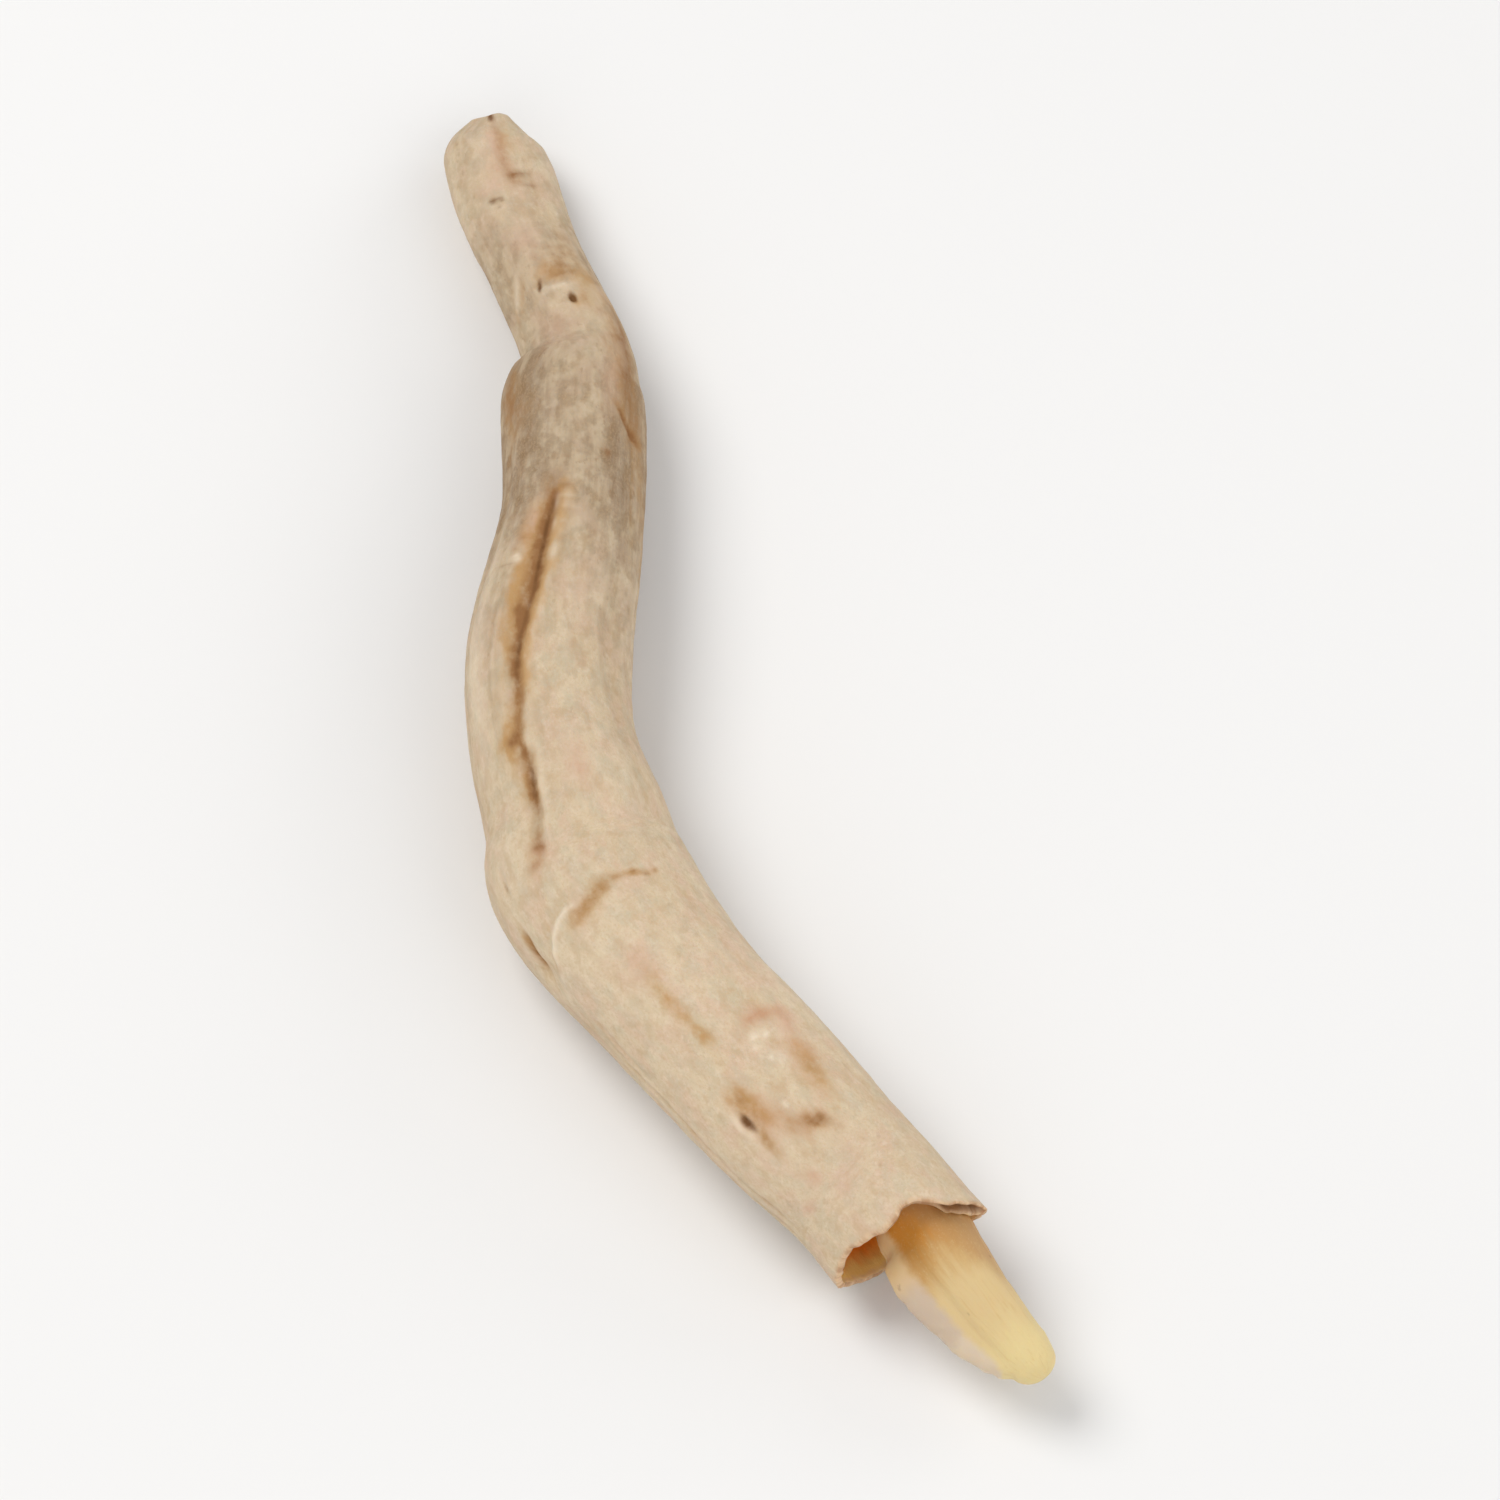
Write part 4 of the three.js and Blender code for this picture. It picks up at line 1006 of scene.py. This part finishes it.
def skinShader():
    names = ("pink", "flush", "honey", "brown", "dark", "paleAndHighlight")
    pink, flush, honey, brown, dark, paleAndHighlight = (mark(name) for name in names)
    broad = patches(3.2, 5.5, 2, 0.5, 3)
    mottle = patches(1, 1.5, 3, 0.55, 7)
    cloud = patches(0.7, 1, 3, 0.55, 47)
    blot = patches(0.45, 0.55, 2, 0.5, 53)
    fine = patches(0.26, 0.32, 4, 0.6, 31)
    grain = patches(0.1, 0.13, 3, 0.7, 23)
    band = patches(0.6, 8, 2, 0.5, 11)
    streak = patches(0.28, 2.2, 3, 0.55, 17)
    patchy = rise(0.5 * fine + 0.5 * blot, 0.38, 0.62)
    fleck = patches(0.3, 0.42, 3, 0.6, 61)
    grimeShade, deep = mark("grimeAndShade"), mark("deep")

    # soft, cloudy patches, grime that is partly painted shade, and a powdery grain
    colour = layered(skinTones["cream"], skinTones, [
        ("tan", rise(broad, 0.36, 0.7) * 0.3),
        ("rosy", rise(mottle, 0.42, 0.64) * 0.42),
        ("moss", rise(cloud, 0.44, 0.64) * 0.5),
        ("tan", rise(band, 0.5, 0.74) * 0.25),
        ("paleAndHighlight", rise(fine, 0.45, 0.7) * 0.25),
        ("tan", rise(blot, 0.5, 0.7) * 0.42),
        ("ash", grimeShade * (0.65 + 0.35 * rise(mottle, 0.38, 0.62)) * 0.9),
        ("drab", grimeShade * rise(0.5 * streak + 0.5 * band, 0.42, 0.62) * 0.38),
        ("drab", grimeShade * rise(0.6 * cloud + 0.4 * blot, 0.44, 0.6) * 0.5),
        ("tan", rise(grain, 0.45, 0.68) * 0.36),
        ("drab", rise(fleck, 0.6, 0.72) * (0.12 + 0.3 * grimeShade)),
    ])

    # painted shade in the folds and a painted highlight on the ridges, then stains that follow the listed
    # marks, whose pale ones are mostly painted highlights
    colour = layered(colour, skinTones, [
        ("honey", mark("foldShade") * (0.12 + 0.2 * patchy)),
        ("paleAndHighlight", mark("raised") * 0.3),
        ("rosy", pink * (0.55 + 0.45 * patchy)),
        ("flush", flush * (0.6 + 0.3 * patchy)),
        ("honey", rise(honey * (0.7 + 0.45 * patchy), 0.0, 1.1) * 0.88),
        ("brown", rise(brown * (0.75 + 0.4 * patchy), 0.0, 1.15) * 0.92),
        ("paleAndHighlight", paleAndHighlight * (0.5 + 0.3 * patchy)),
        ("umber", rise(dark * (0.8 + 0.3 * patchy), 0.08, 0.95) * 0.92),
    ])

    # the wall where it was torn or cut, and the bore, orange a little way in: the orange is partly the bore's
    # own colour and partly a painted glow of light through the thin wall
    wallTone = rise(0.5 * fine + 0.5 * blot, 0.4, 0.6)
    wall = layered(skinTones["edge"], skinTones, [("wall", wallTone), ("brown", brown), ("umber", dark)])
    cut = blend(skinTones["wall"], skinTones["honey"], rise(0.5 * mottle + 0.5 * fine, 0.4, 0.62) * 0.8)
    glow = layered(skinTones["lip"], skinTones, [
        ("amber", rise(deep + 0.3 * (fine - 0.5), 0.0, 0.3)),
        ("orangeAndGlow", rise(deep + 0.9 * (mottle - 0.5), 0.35, 1.25)),
        ("edge", rise(deep, 6.5, 9.0)),
        ("brown", brown),
    ])
    for tone, part in ((wall, "tear"), (cut, "cut"), (glow, "inside")):
        colour = blend(colour, tone, mark(part))

    return Signal.of("BsdfPrincipled", {}, {
        "Base Color": colour,
        "Roughness": 0.66 + 0.2 * grain - 0.2 * mark("inside"),
        "Normal": bumped(0.45 * grain + 0.4 * fine + 0.12 * streak + 0.35 * blot + 0.3 * cloud, 0.6),
        "Specular IOR Level": 0.32,
        "Subsurface Weight": 0.14,
        "Subsurface Radius": (1.0, 0.52, 0.25),
        "Subsurface Scale": 0.7 * mm,
    })


# The core's tones: its amber and orange are partly painted shade and glow near the torn end, and its tan is
# painted shadow of the rim on the right flank
coreTones = {
    "tip": paint(219, 198, 143), "straw": paint(211, 184, 133), "amber": paint(186, 138, 72),
    "orangeAndGlow": paint(205, 137, 44), "tan": paint(183, 141, 90), "speck": paint(126, 92, 62),
    # the shelf of skin
    "skin": paint(210, 190, 163), "ash": paint(190, 168, 146), "cream": paint(224, 188, 130),
}


def coreShader():
    fromTip, clings, rightness = mark("fromTip"), mark("clings"), mark("rightness")
    streak = patches(0.3, 5, 3, 0.55, 2)
    cloud = patches(0.8, 1.3, 3, 0.55, 6)
    thread = patches(0.1, 2, 3, 0.6, 8)
    fine = patches(0.2, 0.3, 4, 0.6, 13)
    grain = patches(0.09, 0.12, 3, 0.7, 19)
    moved = fromTip + 1.6 * (streak - 0.5) + 1.2 * (cloud - 0.5)
    onRight = rise(rightness, 0.7, 1.1)
    shadedFlank = rise(rightness + 0.6 * cloud + 0.3 * fromTip, 1.75, 2.5) * rise(fromTip, 2.0, 5.4)
    # towards the torn end the core goes amber and orange, partly painted shade and glow of the hollow; the
    # tan on the right flank is painted shadow of the rim
    colour = layered(coreTones["tip"], coreTones, [
        ("straw", rise(moved, 0.8, 3.4)),
        ("amber", rise(moved, 4.2, 6.2) * 0.9),
        ("orangeAndGlow", rise(moved - 0.6 * onRight, 5.7, 7.1) * 0.92),
        ("tan", shadedFlank * 0.85),
        ("amber", rise(thread, 0.52, 0.8) * 0.25),
        ("straw", rise(grain, 0.5, 0.75) * 0.3),
    ])
    # the shelf of skin that clings to it
    shell = layered(coreTones["skin"], coreTones, [
        ("ash", rise(cloud + 0.1 * (fromTip - 3), 0.42, 0.68) * 0.7),
        ("cream", rise(fromTip, 5.0, 6.3) * 0.8),
    ])
    colour = blend(colour, shell, rise(clings + 0.25 * (fine - 0.5), 0.15, 0.5))
    flecks = specks(0.7, 1.0, 0.14, 9.0) * rise(fine, 0.48, 0.62)
    return Signal.of("BsdfPrincipled", {}, {
        "Base Color": blend(colour, coreTones["speck"], flecks * 0.35),
        "Roughness": 0.5 + 0.2 * grain,
        "Normal": bumped(0.4 * thread + 0.3 * fine + 0.3 * streak + 0.25 * grain, 0.5),
        "Specular IOR Level": 0.35,
        "Subsurface Weight": 0.3,
        "Subsurface Radius": (1.0, 0.65, 0.3),
        "Subsurface Scale": 1.0 * mm,
    })


dress(rootSkin, "dried_skin", skinShader)
dress(woodyCore, "core_wood", coreShader)

for piece, node in ((rootSkin, "cortex"), (woodyCore, "core")):
    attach(piece, "root")
    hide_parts(node)


# floor, light and camera

# sizes and places from here on are in metres
studio = {
    "floorSize": 1.2, "floorTone": paint(233, 231, 228), "floorRoughness": 0.9, "floorGloss": 0.1,
    "worldTone": paint(235, 238, 243), "worldStrength": 0.5,
    # place, size and watts of each soft light, all aimed at the root
    "lights": {
        "key": ((-0.22, 0.12, 0.36), 0.28, 1.05),
        "fill": ((0.3, -0.2, 0.3), 0.4, 0.55),
        "front": ((-0.05, -0.34, 0.22), 0.4, 0.45),
        "rim": ((0.34, 0.16, 0.13), 0.3, 0.35),
    },
}

view = {
    "elevation": 60, "distance": 0.321, "target": (0.00055, -0.0018, 0.0032),
    "shownWidth": 0.0578,      # how much of the scene fits the frame's width at the target
    "sensor": 36.0, "clip": (0.01, 10),
}


def aim(thing, target):
    thing.rotation_euler = (Vector(target) - thing.location).to_track_quat("-Z", "Y").to_euler()


def makeFloor():
    half = studio["floorSize"] / 2
    mesh = bpy.data.meshes.new("floor")
    corners = [(-half, -half, 0), (half, -half, 0), (half, half, 0), (-half, half, 0)]
    mesh.from_pydata(corners, [], [(0, 1, 2, 3)])
    material = bpy.data.materials.new("floor_card")
    material.use_nodes = True
    shader = material.node_tree.nodes["Principled BSDF"]
    shader.inputs["Base Color"].default_value = studio["floorTone"]
    shader.inputs["Roughness"].default_value = studio["floorRoughness"]
    shader.inputs["Specular IOR Level"].default_value = studio["floorGloss"]
    mesh.materials.append(material)
    putInScene("floor", mesh)


def makeLights():
    world = bpy.data.worlds.new("studio")
    world.use_nodes = True
    background = world.node_tree.nodes["Background"]
    background.inputs["Color"].default_value = studio["worldTone"]
    background.inputs["Strength"].default_value = studio["worldStrength"]
    bpy.context.scene.world = world
    for name, (place, size, watts) in studio["lights"].items():
        lamp = bpy.data.lights.new(name, "AREA")
        lamp.shape = "DISK"
        lamp.size = size
        lamp.energy = watts
        light = putInScene(name, lamp)
        light.location = place
        aim(light, view["target"])


def makeCamera():
    lens = bpy.data.cameras.new("camera")
    lens.sensor_width = view["sensor"]
    lens.lens = view["sensor"] * view["distance"] / view["shownWidth"]
    lens.clip_start, lens.clip_end = view["clip"]
    camera = putInScene("camera", lens)
    lift = math.radians(view["elevation"])
    back = Vector((0, -math.cos(lift), math.sin(lift)))
    camera.location = Vector(view["target"]) + back * view["distance"]
    aim(camera, view["target"])
    bpy.context.scene.camera = camera


makeFloor()
makeLights()
makeCamera()
bpy.context.scene.view_settings.view_transform = "Standard"
print("floor, lights and camera")
